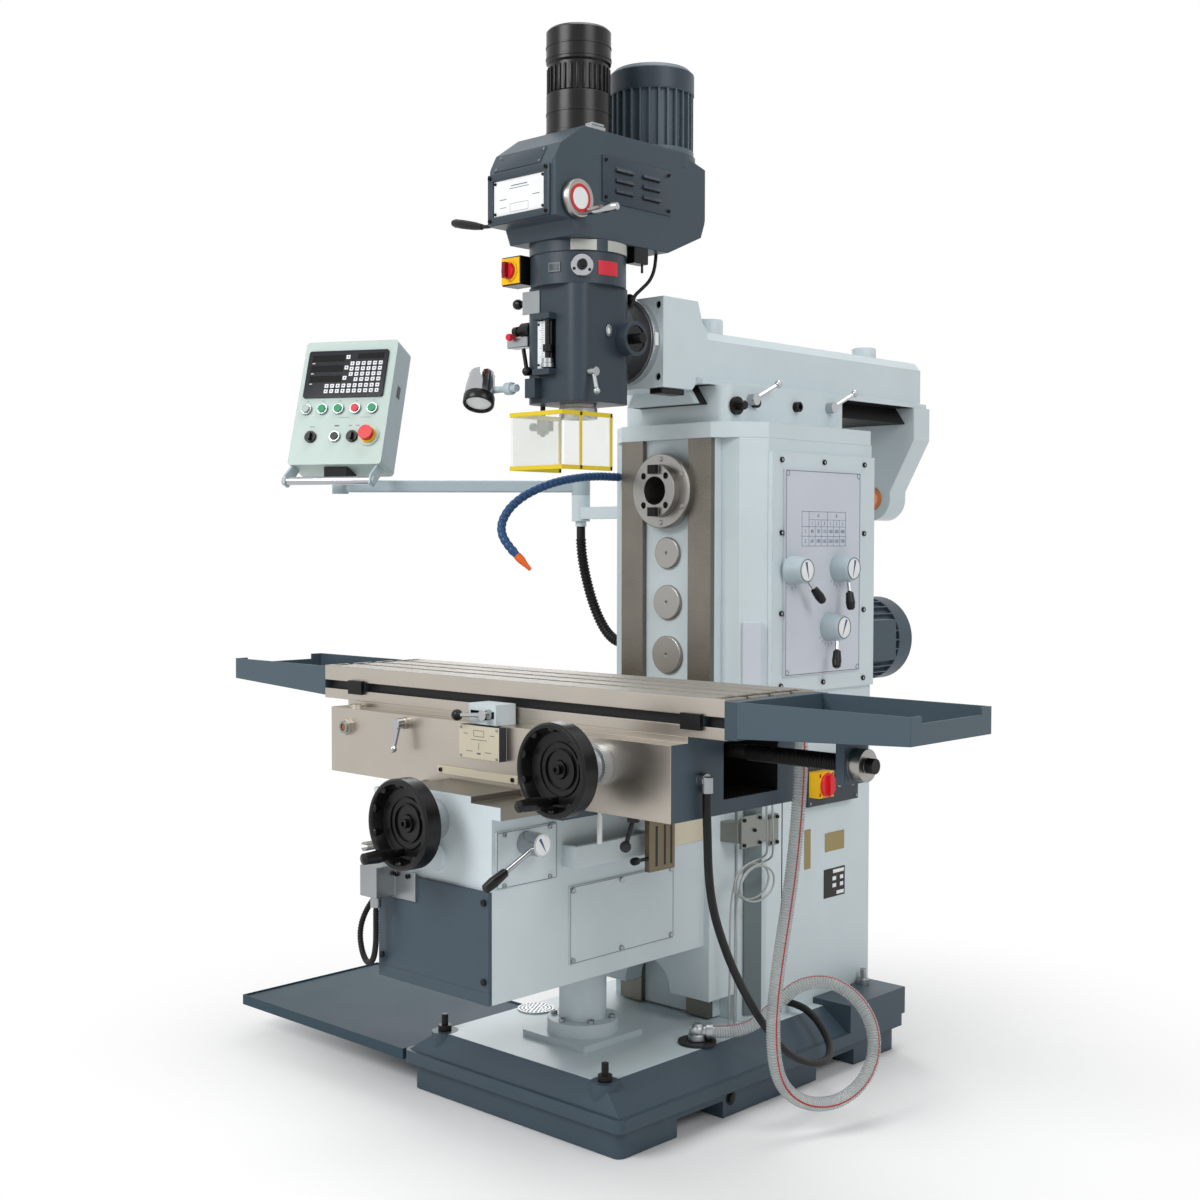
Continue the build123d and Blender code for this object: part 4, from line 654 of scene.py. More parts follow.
def fit(piece, name, body, coat, replaced=None):
    """Fit a piece, or a list of pieces as one, that may stand for a plain CAD node."""
    if isinstance(piece, list):
        piece = joined(piece)
    settle_in(piece, name, body, coat)
    if replaced:
        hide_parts(replaced)
    print(name, len(piece.data.polygons), "faces on", body)
    return piece


# %% [markdown]
# Hoses and conduits follow smooth NURBS lines through the corners of their routes. A ribbed hose is built
# ring by ring on points read from that line, so that every rib stands square to it. Its UV map runs round it
# and along it, which lets a stripe follow the hose wherever it turns.

# %% Routes and tubes
def route(name, points, radius=0.0):
    """A smooth curve with the route's corners as its control points."""
    curve = bpy.data.curves.new(name, "CURVE")
    curve.dimensions = "3D"
    spline = curve.splines.new("NURBS")
    spline.points.add(len(points) - 1)
    for control, point in zip(spline.points, points):
        control.co = (*point, 1)
    spline.order_u = 3
    spline.use_endpoint_u = True
    curve.resolution_u = 16
    curve.bevel_depth = radius
    curve.bevel_resolution = 5
    curve.use_fill_caps = True
    piece = bpy.data.objects.new(name, curve)
    bpy.context.scene.collection.objects.link(piece)
    return piece


def line_of(points):
    """The points of a route's smooth line, in order."""
    guide = route("guide", points)
    bpy.context.view_layer.update()
    drawn = bpy.data.meshes.new_from_object(guide.evaluated_get(bpy.context.evaluated_depsgraph_get()))
    line = [vertex.co.copy() for vertex in drawn.vertices]
    bpy.data.objects.remove(guide)
    bpy.data.meshes.remove(drawn)
    return line


def length_of(line):
    return sum((after - before).length for before, after in zip(line, line[1:]))


def rings_along(line, distances):
    """Places on a line and frames across it that don't twist, at the given distances."""
    across = Vector((1, 0.2, 0.1))
    frames = []
    travelled = 0.0
    index = 0
    for distance in distances:
        while index < len(line) - 2 and travelled + (line[index + 1] - line[index]).length < distance:
            travelled += (line[index + 1] - line[index]).length
            index += 1
        run = line[index + 1] - line[index]
        ahead = line[min(index + 2, len(line) - 1)] - line[index + 1]
        behind = line[index] - line[max(index - 1, 0)]
        share = min((distance - travelled) / run.length, 1.0)
        along = run.normalized()
        if index > 0 and share < 0.5:
            along = (behind.normalized() * (0.5 - share) + along * (0.5 + share)).normalized()
        elif index < len(line) - 2 and share >= 0.5:
            along = (along * (1.5 - share) + ahead.normalized() * (share - 0.5)).normalized()
        across = (across - along * across.dot(along)).normalized()
        frames.append((line[index] + run * share, across.copy(), along.cross(across)))
    return frames


def tube(name, line, profile, sides=20):
    """A tube whose profile gives its (distance, radius) rings, closed at both ends, with a UV map."""
    frames = rings_along(line, [distance for distance, radius in profile])
    points = []
    for (place, across, aside), (distance, radius) in zip(frames, profile):
        for side in range(sides):
            angle = 2 * math.pi * side / sides
            points.append(place + across * (radius * math.cos(angle)) + aside * (radius * math.sin(angle)))
    faces = []
    for low in range(0, (len(profile) - 1) * sides, sides):
        for side in range(sides):
            after = (side + 1) % sides
            faces.append((low + side, low + after, low + sides + after, low + sides + side))
    faces.append(tuple(reversed(range(sides))))
    faces.append(tuple(range((len(profile) - 1) * sides, len(profile) * sides)))
    mesh = bpy.data.meshes.new(name)
    mesh.from_pydata(points, [], faces)
    chart = mesh.uv_layers.new(name="along")
    for face in mesh.polygons[:-2]:
        start = face.vertices[0] % sides
        for corner, turn in zip(face.loop_indices, (start, start + 1, start + 1, start)):
            ring = mesh.loops[corner].vertex_index // sides
            chart.data[corner].uv = (turn / sides, profile[ring][0])
    piece = bpy.data.objects.new(name, mesh)
    bpy.context.scene.collection.objects.link(piece)
    bpy.ops.object.select_all(action="DESELECT")
    piece.select_set(True)
    bpy.context.view_layer.objects.active = piece
    return closed(piece)


def ribs(length, cuff, pitch, outer, root, shape):
    """The profile of a ribbed tube: plain cuffs at the ends and ribs of that shape between them."""
    count = int((length - 2 * cuff) / pitch)
    start = (length - count * pitch) / 2
    profile = [(0.0, root)]
    for rib in range(count):
        for share, height in shape:
            profile.append((start + (rib + share) * pitch, root + (outer - root) * height))
    profile.append((length, root))
    return profile


def lay(name, points, coat, diameter, replaced=None, body="frame",
        rib=None, sides=20):
    line = line_of(points)
    measured = length_of(line)
    if rib:
        cuff, pitch, root, shape = rib
        piece = tube(name, line, ribs(measured, cuff, pitch, diameter / 2, root, shape), sides)
    else:
        piece = route(name, points, diameter / 2)
    settle_in(piece, name, body, coat)
    if replaced:
        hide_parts(replaced)
    print(name, round(measured, 3), "m long")


# %% [markdown]
# The coolant drains from the saddle's trough through a clear hose with a red tracer stripe, which turns one
# loose loop beside the base. The plastic is see-through between its ribs and milky on them, and the stripe
# is read from the hose's own UV map.

# %% Return hose
loop_along = Vector((math.cos(math.radians(43.4)), math.sin(math.radians(43.4)), 0))
loop_aside = Vector((-loop_along.y, loop_along.x, 0))
loop_middle = Vector((0.59, -0.125, 0.185))
loop_reach = 0.118 / math.cos(math.radians(15.5))
loop_corners = []
for step in range(9):
    angle = math.radians(190 + 31 * step)
    drift = -0.025 + 0.205 * step / 8
    loop_corners.append(loop_middle + loop_along * (loop_reach * math.cos(angle)) + loop_aside * drift
                        + Vector((0, 0, loop_reach * math.sin(angle))))
return_route = [
    (0.585, -0.228, 0.912), (0.585, -0.228, 0.862), (0.583, -0.229, 0.79), (0.577, -0.23, 0.705),
    (0.567, -0.231, 0.612), (0.553, -0.232, 0.52), (0.537, -0.232, 0.43), (0.523, -0.232, 0.34),
    (0.515, -0.231, 0.252), *loop_corners, (0.424, -0.012, 0.292), (0.38, -0.036, 0.24),
    (0.342, -0.059, 0.194), (0.304, -0.09, 0.171), (0.265, -0.124, 0.171)]
round_ribs = [(0.0, 0.0), (0.16, 0.7), (0.34, 1.0), (0.5, 0.7), (0.66, 0.0)]


def clear_hose():
    """Milky clear plastic with a red tracer line."""
    finish = Finish("clear_hose")
    around, along, _ = finish.parts(finish.node("ShaderNodeUVMap", {"uv_map": "along"}))
    stripe = abs(around - 0.1) < 0.022
    rib = finish.node("ShaderNodeMath", {"operation": "PINGPONG"}, {0: along, 1: 0.003})
    cloud = finish.noise(9.0)
    pale = finish.blend(cloud, screen(164, 170, 172), screen(196, 200, 198))
    finish.shade(Base_Color=finish.blend(stripe, pale, screen(168, 44, 40)), Roughness=cloud * 0.12 + 0.14,
                 Alpha=stripe * 0.5 + rib * 100 + cloud * 0.2 + 0.36)
    return finish.material


coats["clear_hose"] = clear_hose(), "hose"
lay("return_tube", return_route, "clear_hose", 0.032, "return_hose",
    rib=(0.034, 0.006, 0.0143, round_ribs))

# %% [markdown]
# The power cable of the feed motor hangs from an elbow at the end of the saddle in a smooth black conduit,
# so a bevelled curve is enough. The pendant's conduit is ribbed, with ribs like those of a bellows.

# %% Conduits
power_route = [
    (0.563, -0.516, 0.806), (0.563, -0.516, 0.766), (0.559, -0.508, 0.712), (0.548, -0.492, 0.64),
    (0.533, -0.46, 0.56), (0.518, -0.41, 0.48), (0.503, -0.347, 0.395), (0.487, -0.271, 0.31),
    (0.475, -0.192, 0.23), (0.469, -0.11, 0.16), (0.466, -0.028, 0.118), (0.462, 0.045, 0.104),
    (0.425, 0.118, 0.108), (0.376, 0.164, 0.126), (0.326, 0.186, 0.154), (0.282, 0.188, 0.172),
    (0.24, 0.188, 0.172)]
pendant_route = [
    (-0.41, 0.125, 1.352), (-0.41, 0.125, 1.306), (-0.407, 0.13, 1.256), (-0.398, 0.136, 1.204),
    (-0.384, 0.142, 1.152), (-0.362, 0.147, 1.102), (-0.332, 0.15, 1.062), (-0.292, 0.152, 1.04),
    (-0.24, 0.152, 1.04)]
bellows = [(0.0, 0.0), (0.2, 0.0), (0.4, 1.0), (0.75, 1.0), (0.95, 0.0)]
lay("power_cable", power_route, "black_conduit", 0.018, "power_conduit")
lay("pendant_tube", pendant_route, "black_conduit", 0.028, "pendant_conduit",
    rib=(0.028, 0.009, 0.0118, bellows))

# %% [markdown]
# The coolant pipe is a chain of ball joints, each with a waist, so its profile repeats one segment: a bulb
# and a cup. The orange nozzle is a separate cone on its end.

# %% Coolant pipe
coolant_route = [
    (-0.18, 0.042, 1.476), (-0.18, 0.000, 1.476), (-0.177, -0.044, 1.476), (-0.171, -0.098, 1.473),
    (-0.167, -0.152, 1.467), (-0.168, -0.206, 1.458), (-0.176, -0.256, 1.443), (-0.19, -0.304, 1.42),
    (-0.2, -0.346, 1.386), (-0.194, -0.376, 1.344), (-0.166, -0.384, 1.306), (-0.136, -0.37, 1.274)]
links = [(0.0, 0.0), (0.1, 0.75), (0.3, 1.0), (0.55, 1.0), (0.8, 0.8), (0.98, 0.35)]
coolant_line = line_of(coolant_route)
nozzle_rings = [(0.0098, -0.004), (0.01, 0.004), (0.0098, 0.01), (0.0062, 0.028), (0.0045, 0.042),
                (0.0032, 0.042), (0.003, 0.03)]
nozzle = lathe(nozzle_rings, 24, stand(coolant_line[-1], coolant_line[-1] - coolant_line[-3]))
fit(nozzle, "coolant_nozzle", "frame", "orange_plastic")
lay("coolant_links", coolant_route, "pipe_blue", 0.0216, "coolant_pipe",
    rib=(0.006, 0.016, 0.0082, links))

# %% [markdown]
# A chip guard hangs from the head: yellow strips with clear panes between them. Each strip is a bevelled bar
# between two corners of the guard, so the whole frame comes from a short list of corners.

# %% Chip guard
guard_low = Vector((-0.085, -0.448, 1.473))
guard_high = Vector((0.085, -0.281, 1.605))
left_wall, right_wall = guard_low.x + 0.002, guard_high.x - 0.002
front_wall = guard_low.y + 0.002
strips = []
for z in (guard_low.z + 0.005, guard_high.z - 0.005):
    for x in (left_wall, right_wall):
        strips.append(bar((x, guard_low.y, z), (x, guard_high.y, z), 0.003, 0.01, (1, 0, 0)))
    strips.append(bar((guard_low.x, front_wall, z), (guard_high.x, front_wall, z), 0.003, 0.01, (0, 1, 0)))
for x, y in ((right_wall, guard_low.y + 0.063), (right_wall, guard_high.y - 0.004),
             (left_wall, guard_high.y - 0.004)):
    strips.append(bar((x, y, guard_low.z + 0.001), (x, y, guard_high.z - 0.001), 0.003, 0.008, (1, 0, 0)))
fit(strips, "guard_strips", "cutter_guard", "guard_yellow", "cutter_guard")


def clear_pane():
    """Clear sheet: almost see-through, with a little haze."""
    finish = Finish("clear_pane")
    haze = finish.noise(14.0)
    finish.shade(Base_Color=finish.blend(haze, screen(214, 222, 214), screen(238, 240, 232)),
                 Alpha=haze * 0.1 + 0.16, Roughness=haze * 0.06 + 0.05)
    return finish.material


coats["clear_pane"] = clear_pane(), "guard"
middle = (guard_low.x + guard_high.x) / 2
pane_low, pane_high = guard_low.z + 0.006, guard_high.z - 0.006
panes = [bar((x, y, pane_low), (x, y, pane_high), width, depth, (1, 0, 0), 0.0003)
         for x, y, width, depth in ((left_wall, guard_low.y + 0.09, 0.0022, 0.16),
                                    (right_wall, guard_low.y + 0.09, 0.0022, 0.16),
                                    (middle, front_wall, 0.16, 0.0022))]
fit(panes, "guard_panes", "cutter_guard", "clear_pane")

# %% [markdown]
# The guard swings on a sleeve round the head's hanging rod, with an arm to the guard and a clamping knob.
# The sleeve could be a thick curve, but a cylinder with a bridged bore keeps its edges and gets a real hole.

# %% Guard hanger
knob_rings = [(0.004, 0.0), (0.004, 0.01), (0.009, 0.012), (0.01, 0.015), (0.01, 0.023), (0.008, 0.026)]
hanger = [sleeve(0.014, 0.0062, 0.036, place=stand((-0.111, -0.314, 1.565))),
          bar((-0.099, -0.314, 1.583), (-0.083, -0.314, 1.583), 0.016, 0.024, (0, 1, 0)),
          lathe(knob_rings, 20, stand((-0.124, -0.314, 1.583), (-1, 0, 0)))]
fit(hanger, "guard_hanger", "cutter_guard", "black_screw")

# %% [markdown]
# The work lamp: a chrome shade turned as one profile, a black bezel with a frosted lens, and a gray knuckle
# that holds it on the head. The shade hangs forward on its own axis, so each profile is modelled upright and
# then set along it.

# %% Work lamp
knuckle = Vector((-0.078, -0.43, 1.664))
shade_axis = stand(knuckle + Vector((-0.116, 0, 0.044)), (0.26, -0.4, -0.879))
shade_rings = [(0.01, 0.0), (0.023, 0.0006), (0.0295, 0.005), (0.0325, 0.013), (0.0345, 0.04),
               (0.0357, 0.07)]
fit(lathe(shade_rings, 48, shade_axis), "lamp_shade", "work_lamp", "bright_chrome", "work_lamp")
bezel_rings = [(0.0362, 0.068), (0.037, 0.07), (0.037, 0.088), (0.0352, 0.0912), (0.032, 0.0912),
               (0.03, 0.083)]
fit(lathe(bezel_rings, 48, shade_axis), "lamp_bezel", "work_lamp", "black_moulding_and_shade")
lens_rings = [(0.0298, 0.0832), (0.029, 0.0846), (0.02, 0.0862), (0.008, 0.0868)]
fit(lathe(lens_rings, 48, shade_axis), "lamp_lens", "work_lamp", "frosted")
stem_rings = [(0.008, 0.034), (0.008, 0.082), (0.011, 0.083), (0.011, 0.09)]
joint_rings = [(0.009, 0.0), (0.009, 0.014), (0.014, 0.015), (0.015, 0.018), (0.015, 0.033), (0.013, 0.036)]
holder = [lathe(rings, 28, stand(knuckle, (-1, 0, 0))) for rings in (joint_rings, stem_rings)]
holder.append(bar(knuckle + Vector((-0.102, -0.004, 0)), knuckle + Vector((-0.08, -0.004, 0)), 0.018, 0.034,
                  (0, 1, 0)))
fit(holder, "lamp_knuckle", "work_lamp", "knuckle_gray")

# %% [markdown]
# Small things sit on faces, so a face gets a frame: X to the right and Y up as one looks at it, and Z out of
# it. A tile is a thin plate with broken edges on such a face, a row of screws is one screw copied along it,
# and the lines of a scale are one mark copied round its axis.

# %% Frames and tiles on faces
def front(x, y, z):
    """The frame of a face that looks at the operator."""
    return stand((x, y, z), (0, -1, 0), (1, 0, 0))


def right_side(x, y=0, z=0):
    """The frame of a face that looks to the right."""
    return stand((x, y, z), (1, 0, 0), (0, 1, 0))


def at(face, x, y, out=0.0):
    """The frame of another place on a face, or that far in front of it."""
    return face @ shift(x, y, out)


def corners(x, y):
    """The four corners of a rectangle round the origin."""
    return [(side * x, level * y) for side in (-1, 1) for level in (-1, 1)]


def tile(face, width, height, thick, bevel=0.0003, segments=1):
    return plate(width, height, thick, bevel, segments, face)


def tiles(face, rows, thick, bevel=0.0003):
    """Several tiles as one mesh, each row (x, y, width, height)."""
    return joined([tile(at(face, x, y), width, height, thick, bevel) for x, y, width, height in rows])


def screws(face, places, radius, height):
    return copies(cap_screw(radius, height), [at(face, x, y) for x, y in places])


def frame_piece(face, width, height, border, thick, bevel=0.0001):
    """A flat frame: a plate whose front is inset, and bridged through to its back."""
    piece = begin(bpy.ops.mesh.primitive_cube_add, (width, height, thick), size=1,
                  location=(0, 0, thick / 2))
    pick(piece, lambda centre, normal: abs(normal.z) > 0.9)
    bpy.ops.mesh.inset(thickness=border)
    bpy.ops.mesh.bridge_edge_loops()
    bpy.ops.mesh.select_all(action="SELECT")
    bpy.ops.mesh.bevel(offset=bevel, segments=2, affect="EDGES")
    return closed(piece, face)


def flat_marks(face, radius, angles, length, width):
    """Radial lines on a face, round its centre."""
    mark = plate(length, width, 0.0004, 0.0001, 1)
    return copies(mark, [face @ turned(angle) @ shift(radius + length / 2, 0, 0) for angle in angles])


def round_marks(face, radius, angles, length, width):
    """Lines along a round edge whose axis is the face's normal."""
    mark = plate(width, length, 0.0004, 0.0001, 1)
    return copies(mark, [face @ turned(angle) @ shift(0, radius, 0) @ turned(-90, "X") for angle in angles])


def pointer(face, width, length, turn):
    """A flat pointer: a bar with one end squeezed to a point."""
    piece = plate(width, length, 0.0005, 0.0001, 1)
    pick(piece, lambda centre, normal: centre.y < -length / 3)
    bpy.ops.transform.resize(value=(0.12, 1, 1), center_override=(0, 0, 0))
    return closed(piece, at(face, 0, 0, 0.0011) @ turned(turn))


def thin_disc(face, radius, segments=40):
    """A thin round plate with a sloping rim."""
    return lathe([(radius, 0.0), (radius, 0.0008), (radius - 0.0008, 0.0012)], segments, face)


# %% [markdown]
# The pendant carries a digital readout: a dark panel with four display windows and white rubber keys. The
# key is modelled once, with a rounded top, and copied into its rows. Silver bezels surround the buttons.

# %% Pendant readout and keys
pendant_face = stand(pendant_place, face_out, face_right)
readout = at(pendant_face, 0, 0, 0.006)
windows = [(-0.062, y, 0.096, 0.019) for y in (0.13, 0.099, 0.068)] + [(0.064, 0.135, 0.078, 0.016)]
fit(tiles(readout, windows, 0.0008), "readout_windows", "pendant", "black_glass_and_shade")
key_pitch = 0.0168
key_places = [(-0.002, 0.132), (-0.003, 0.1), (-0.004, 0.069)]
for y, first in ((0.112, 0), (0.096, 0), (0.08, 0), (0.064, 1)):
    key_places += [(0.013 + key_pitch * column, y) for column in range(first, 6)]
for y in (0.046, 0.03):
    key_places += [(-0.0542 + key_pitch * column, y) for column in range(10)]
key = plate(0.0115, 0.0115, 0.0022, 0.0009)
fit(copies(key, [at(readout, x, y) for x, y in key_places]), "readout_keys", "pendant", "plate_white")
legends = [(x, y, 0.0042, 0.0042) for x, y in key_places]
fit(tiles(readout, legends, 0.0024), "key_legends", "pendant", "legend_blue")
axis_rows = [(-0.104, y, 0.008, 0.0022) for y in (0.1155, 0.0845, 0.0535)]
fit(tiles(readout, axis_rows, 0.0004, 0.0001), "axis_marks", "pendant", "plate_white")

button_columns = (-0.106, -0.058, -0.01, 0.04, 0.09)
button_places = [(x, -0.021) for x in button_columns] + [(-0.008, -0.103)]
fit(copies(sleeve(0.016, 0.0114, 0.0065), [at(pendant_face, x, y) for x, y in button_places]),
    "button_bezels", "pendant", "bezel_silver")
fit(copies(sleeve(0.0165, 0.0114, 0.007), [at(pendant_face, x, -0.103) for x in (-0.08, 0.043)]),
    "selector_bezels", "pendant", "black_moulding_and_shade")
# Painted shade: the slot in the pendant's side is a black tile.
slot_face = pendant_face @ stand((0.1376, 0.045, -0.045), (1, 0, 0), (0, 0, -1))
fit(tile(slot_face, 0.018, 0.034, 0.001, 0.0004), "side_slot", "pendant", "black_glass_and_shade")
little_marks = [(x, 0.004, 0.006, 0.0012) for x in button_columns]
little_marks += [(-0.08, -0.072, 0.014, 0.0016), (-0.008, -0.07, 0.014, 0.004)]
little_marks += [(x, -0.07, 0.01, 0.0018) for x in (0.032, 0.054)]
little_marks += [(x, -0.046, 0.03, 0.0008) for x in (0.01, 0.072)]
fit(tiles(pendant_face, little_marks, 0.0003, 0.0001), "button_marks", "pendant", "mark_gray")

# %% [markdown]
# The belt housing has a framed plate in front with a few plain lines, a bare plate on the slope above it,
# and a louvred cover on the side. A louvre is a block whose lower side is squeezed flat into a wedge, over a
# black tile that paints the shade in the opening below it.

# %% Belt housing plates and louvres
housing_front = front(0, -0.496, 2.0825)
plate_front = at(housing_front, 0, 0, 0.0022)
fit(frame_piece(housing_front, 0.196, 0.112, 0.016, 0.007, 0.001), "speed_plate_frame", "head", "head_gray")
fit(tile(housing_front, 0.164, 0.08, 0.0022, 0.0006), "speed_plate", "head", "plate_white")
plate_lines = [(0, 0.024, 0.052, 0.0022), (0, 0.018, 0.062, 0.0016), (-0.052, -0.004, 0.022, 0.0018),
               (0.054, -0.004, 0.022, 0.0018), (0, -0.016, 0.058, 0.0008), (0, -0.034, 0.058, 0.0008),
               (-0.029, -0.025, 0.0008, 0.018), (0.029, -0.025, 0.0008, 0.018),
               (-0.052, -0.022, 0.02, 0.0014)]
fit(tiles(plate_front, plate_lines, 0.0002, 0.0001), "speed_plate_lines", "head", "mark_gray")
fit(screws(at(housing_front, 0, 0, 0.0065), corners(0.09, 0.048), 0.0045, 0.004), "housing_screws", "head",
    "black_screw")
fit(screws(plate_front, corners(0.076, 0.034), 0.0032, 0.0026), "speed_plate_screws", "head", "black_screw")
slope = stand((-0.012, -0.483, 2.164), (0, -0.879, 0.476), (1, 0, 0))
fit(tile(slope, 0.15, 0.044, 0.0016, 0.0007, 2), "name_plate", "head", "head_gray")
fit(screws(at(slope, 0, 0, 0.0014), corners(0.069, 0.016), 0.0026, 0.0016), "name_plate_screws", "head",
    "bright_zinc")

louvre_side = right_side(0.105, -0.2225, 2.1305)
louvre_front = at(louvre_side, 0, 0, 0.0028)
fit(tile(louvre_side, 0.236, 0.104, 0.003, 0.001, 2), "louvre_cover", "head", "head_gray")
louvre = plate(0.062, 0.011, 0.0075, 0.0015)
pick(louvre, lambda centre, normal: centre.y > 0.003)
bpy.ops.transform.resize(value=(0.92, 1, 0.15), center_override=(0, 0.0055, 0))
closed(louvre)
louvre_places = [(side * 0.046, 0.026 - 0.024 * row) for side in (-1, 1) for row in range(3)]
fit(copies(louvre, [at(louvre_front, x, y) for x, y in louvre_places]), "louvres", "head", "head_gray")
# Painted shade: a black tile under each louvre stands for the shade in its opening.
slots = [(x, y - 0.0072, 0.058, 0.0042) for x, y in louvre_places]
fit(tiles(louvre_front, slots, 0.0006, 0.0002), "louvre_slots", "head", "black_glass_and_shade")
fit(screws(louvre_front, corners(0.108, 0.042), 0.0042, 0.0034), "louvre_screws", "head", "black_screw")

# %% [markdown]
# The speed crank is a thick silver disc with a rounded rim, a red ring and a white face, and a chrome handle
# near its edge. It stands for the plain CAD crank, so it rides the crank's own body.

# %% Speed crank
crank_face = right_side(0.105, -0.428, 2.069)
disc_rings = [(0.02, 0.0), (0.041, 0.002), (0.043, 0.004), (0.043, 0.015), (0.0415, 0.0175),
              (0.0385, 0.0185), (0.0375, 0.0175), (0.0365, 0.0175)]
fit(lathe(disc_rings, 64, crank_face), "crank_disc", "speed_crank", "crank_steel", "speed_crank")
fit(sleeve(0.0315, 0.0245, 0.0012, 64, at(crank_face, 0, 0, 0.0172)), "crank_ring", "speed_crank", "ring_red")
dial_rings = [(0.0245, 0.0), (0.0245, 0.001), (0.024, 0.0014)]
fit(lathe(dial_rings, 48, at(crank_face, 0, 0, 0.017)), "crank_dial", "speed_crank", "plate_white")
handle_rings = [(0.007, 0.0), (0.007, 0.008), (0.0085, 0.011), (0.0098, 0.03), (0.0104, 0.07),
                (0.0098, 0.088), (0.0078, 0.094), (0.005, 0.0952)]
fit(lathe(handle_rings, 28, at(crank_face, 0.019, -0.028, 0.0165)), "crank_handle", "speed_crank",
    "bright_chrome")

# %% [markdown]
# The power drawbar has a fluted grip below its cap. The flutes are one bar, copied round the axis. The bands
# below and above the grip are thin sleeves, and the motor's cap has one as well.

# %% Drawbar flutes, foot and motor cap
spindle_axis = Vector((0, -0.308, 0))
drawbar_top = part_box("drawbar_unit")[1][2]
motor_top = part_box("head_motor")[1][2]
grip_foot = Matrix.Translation(spindle_axis + Vector((0, 0, drawbar_top - 0.1485)))
flute = plate(0.007, 0.006, 0.06, 0.0022)
fit(copies(flute, [grip_foot @ turned(12 * step) @ shift(0.0705, 0, 0) for step in range(30)]),
    "drawbar_flutes", "head", "black_moulding_and_shade")
bands = ((2.2385, 0.0768, 0.01), (2.29, 0.0762, 0.004), (drawbar_top - 0.071, 0.0765, 0.005),
         (drawbar_top - 0.043, 0.0763, 0.003))
fit([sleeve(radius, 0.0735, height, 56, stand(spindle_axis + Vector((0, 0, z))))
     for z, radius, height in bands], "drawbar_bands", "head", "black_moulding_and_shade")
foot = [bar((0.06, -0.336, 2.2362), (0.06, -0.336, 2.25), 0.058, 0.05, (1, 0, 0), 0.0012),
        bar((0.078, -0.336, 2.25), (0.078, -0.336, 2.256), 0.022, 0.04, (1, 0, 0), 0.0012)]
fit(foot, "drawbar_foot", "head", "bright_zinc")
fit(sleeve(0.103, 0.099, 0.046, 72, stand((0, -0.054, motor_top - 0.058))), "motor_cap_ring", "head",
    "head_gray")

# %% [markdown]
# The gear cover is held by black socket screws, and its panel has a thin dark outline with a ring in each
# corner. The table of speeds is drawn with thin tiles. Its numbers are text objects, which are turned into
# mesh and only then set on the panel, so that their place ends up in the mesh like everything else.

# %% Gear cover
cover_face = right_side(0.254)
panel_face = right_side(0.262)


def letters(face, text, x, y):
    """A word or number as a thin mesh on a face, centred on a place."""
    bpy.ops.object.select_all(action="DESELECT")
    bpy.ops.object.text_add(location=(0, 0, 0))
    drawn = bpy.context.object.data
    drawn.body = text
    drawn.size = 0.0125
    drawn.align_x = "CENTER"
    drawn.align_y = "CENTER"
    drawn.extrude = 0.0001
    bpy.ops.object.convert(target="MESH")
    piece = bpy.context.object
    piece.data.transform(at(face, x, y, 0.0002))
    return piece


cover_screws = [(y, z) for y in (0.137, 0.3125, 0.489) for z in (0.96, 1.51)]
cover_screws += [(y, z) for y in (0.137, 0.489) for z in (1.1367, 1.3333)]
fit(screws(cover_face, cover_screws, 0.0066, 0.0046), "cover_screws", "frame", "black_screw")
corner_rings = [at(panel_face, y, z) for y in (0.1535, 0.4535) for z in (0.9915, 1.4785)]
outline = [frame_piece(at(panel_face, 0.3035, 1.235), 0.314, 0.501, 0.0014, 0.0005),
           copies(sleeve(0.007, 0.0057, 0.0005, 20), corner_rings)]
fit(outline, "panel_outline", "frame", "mark_gray")
table_lines = [(0.304, z, 0.187, 0.001) for z in (1.386, 1.349, 1.325, 1.301)]
table_lines += [(0.3185, 1.366, 0.157, 0.0008)]
table_lines += [(y, 1.3435, 0.001, 0.085) for y in (0.211, 0.24, 0.318, 0.397)]
table_lines += [(y, 1.3335, 0.0008, 0.065) for y in (0.266, 0.292, 0.344, 0.37)]
fit(tiles(panel_face, table_lines, 0.0004, 0.0001), "speed_table_lines", "frame", "line_blue")
number_columns = (0.253, 0.279, 0.305, 0.331, 0.357, 0.3835)
numbers = [letters(panel_face, text, y, z)
           for z, row in ((1.357, "1 2 3 1 2 3"), (1.337, "40 70 115 180 300 480"),
                          (1.313, "60 100 165 260 430 700"))
           for y, text in zip(number_columns, row.split())]
numbers += [letters(panel_face, text, y, z) for text, y, z in (("A", 0.279, 1.376), ("B", 0.357, 1.376),
                                                               ("1", 0.2255, 1.337), ("2", 0.2255, 1.313))]
fit(numbers, "speed_numbers", "frame", "line_blue")

# %% [markdown]
# Each selector has a white face with a dark ring and a blue pointer. All of them ride the lever that they
# sit on, so they turn with it. The scale behind it stays on the panel.

# %% Selector faces
for number, ((y, z), turn, lever) in enumerate(zip(selector_places, (14, -12, -24), (-49, -96, -108)), 1):
    hub = right_side(0.31, y, z)
    body = f"gear_lever_{number}"
    fit(thin_disc(hub, 0.0258), f"selector_face_{number}", body, "plate_white")
    fit(sleeve(0.0276, 0.026, 0.0014, 40, hub), f"selector_ring_{number}", body, "mark_gray")
    fit(pointer(hub, 0.0085, 0.042, turn), f"selector_pointer_{number}", body, "line_blue")
    angles = [lever + step for step in (-36, -18, 0, 18, 36)]
    fit(flat_marks(at(panel_face, y, z), 0.039, angles, 0.009, 0.0012), f"selector_scale_{number}", "frame",
        "mark_gray")

# %% [markdown]
# On the column hang a few bare plates and the parts of the switch panel that the CAD leaves plain: a yellow
# ring under the main switch, a red knob with a rounded rim, and silver bezels round the buttons.

# %% Column plates and switch panel
def on_chamfer(z):
    """The frame of a place on the chamfer at the column's right front edge."""
    return stand((0.22, 0.0735, z), (0.844, -0.536, 0), (0.536, 0.844, 0))


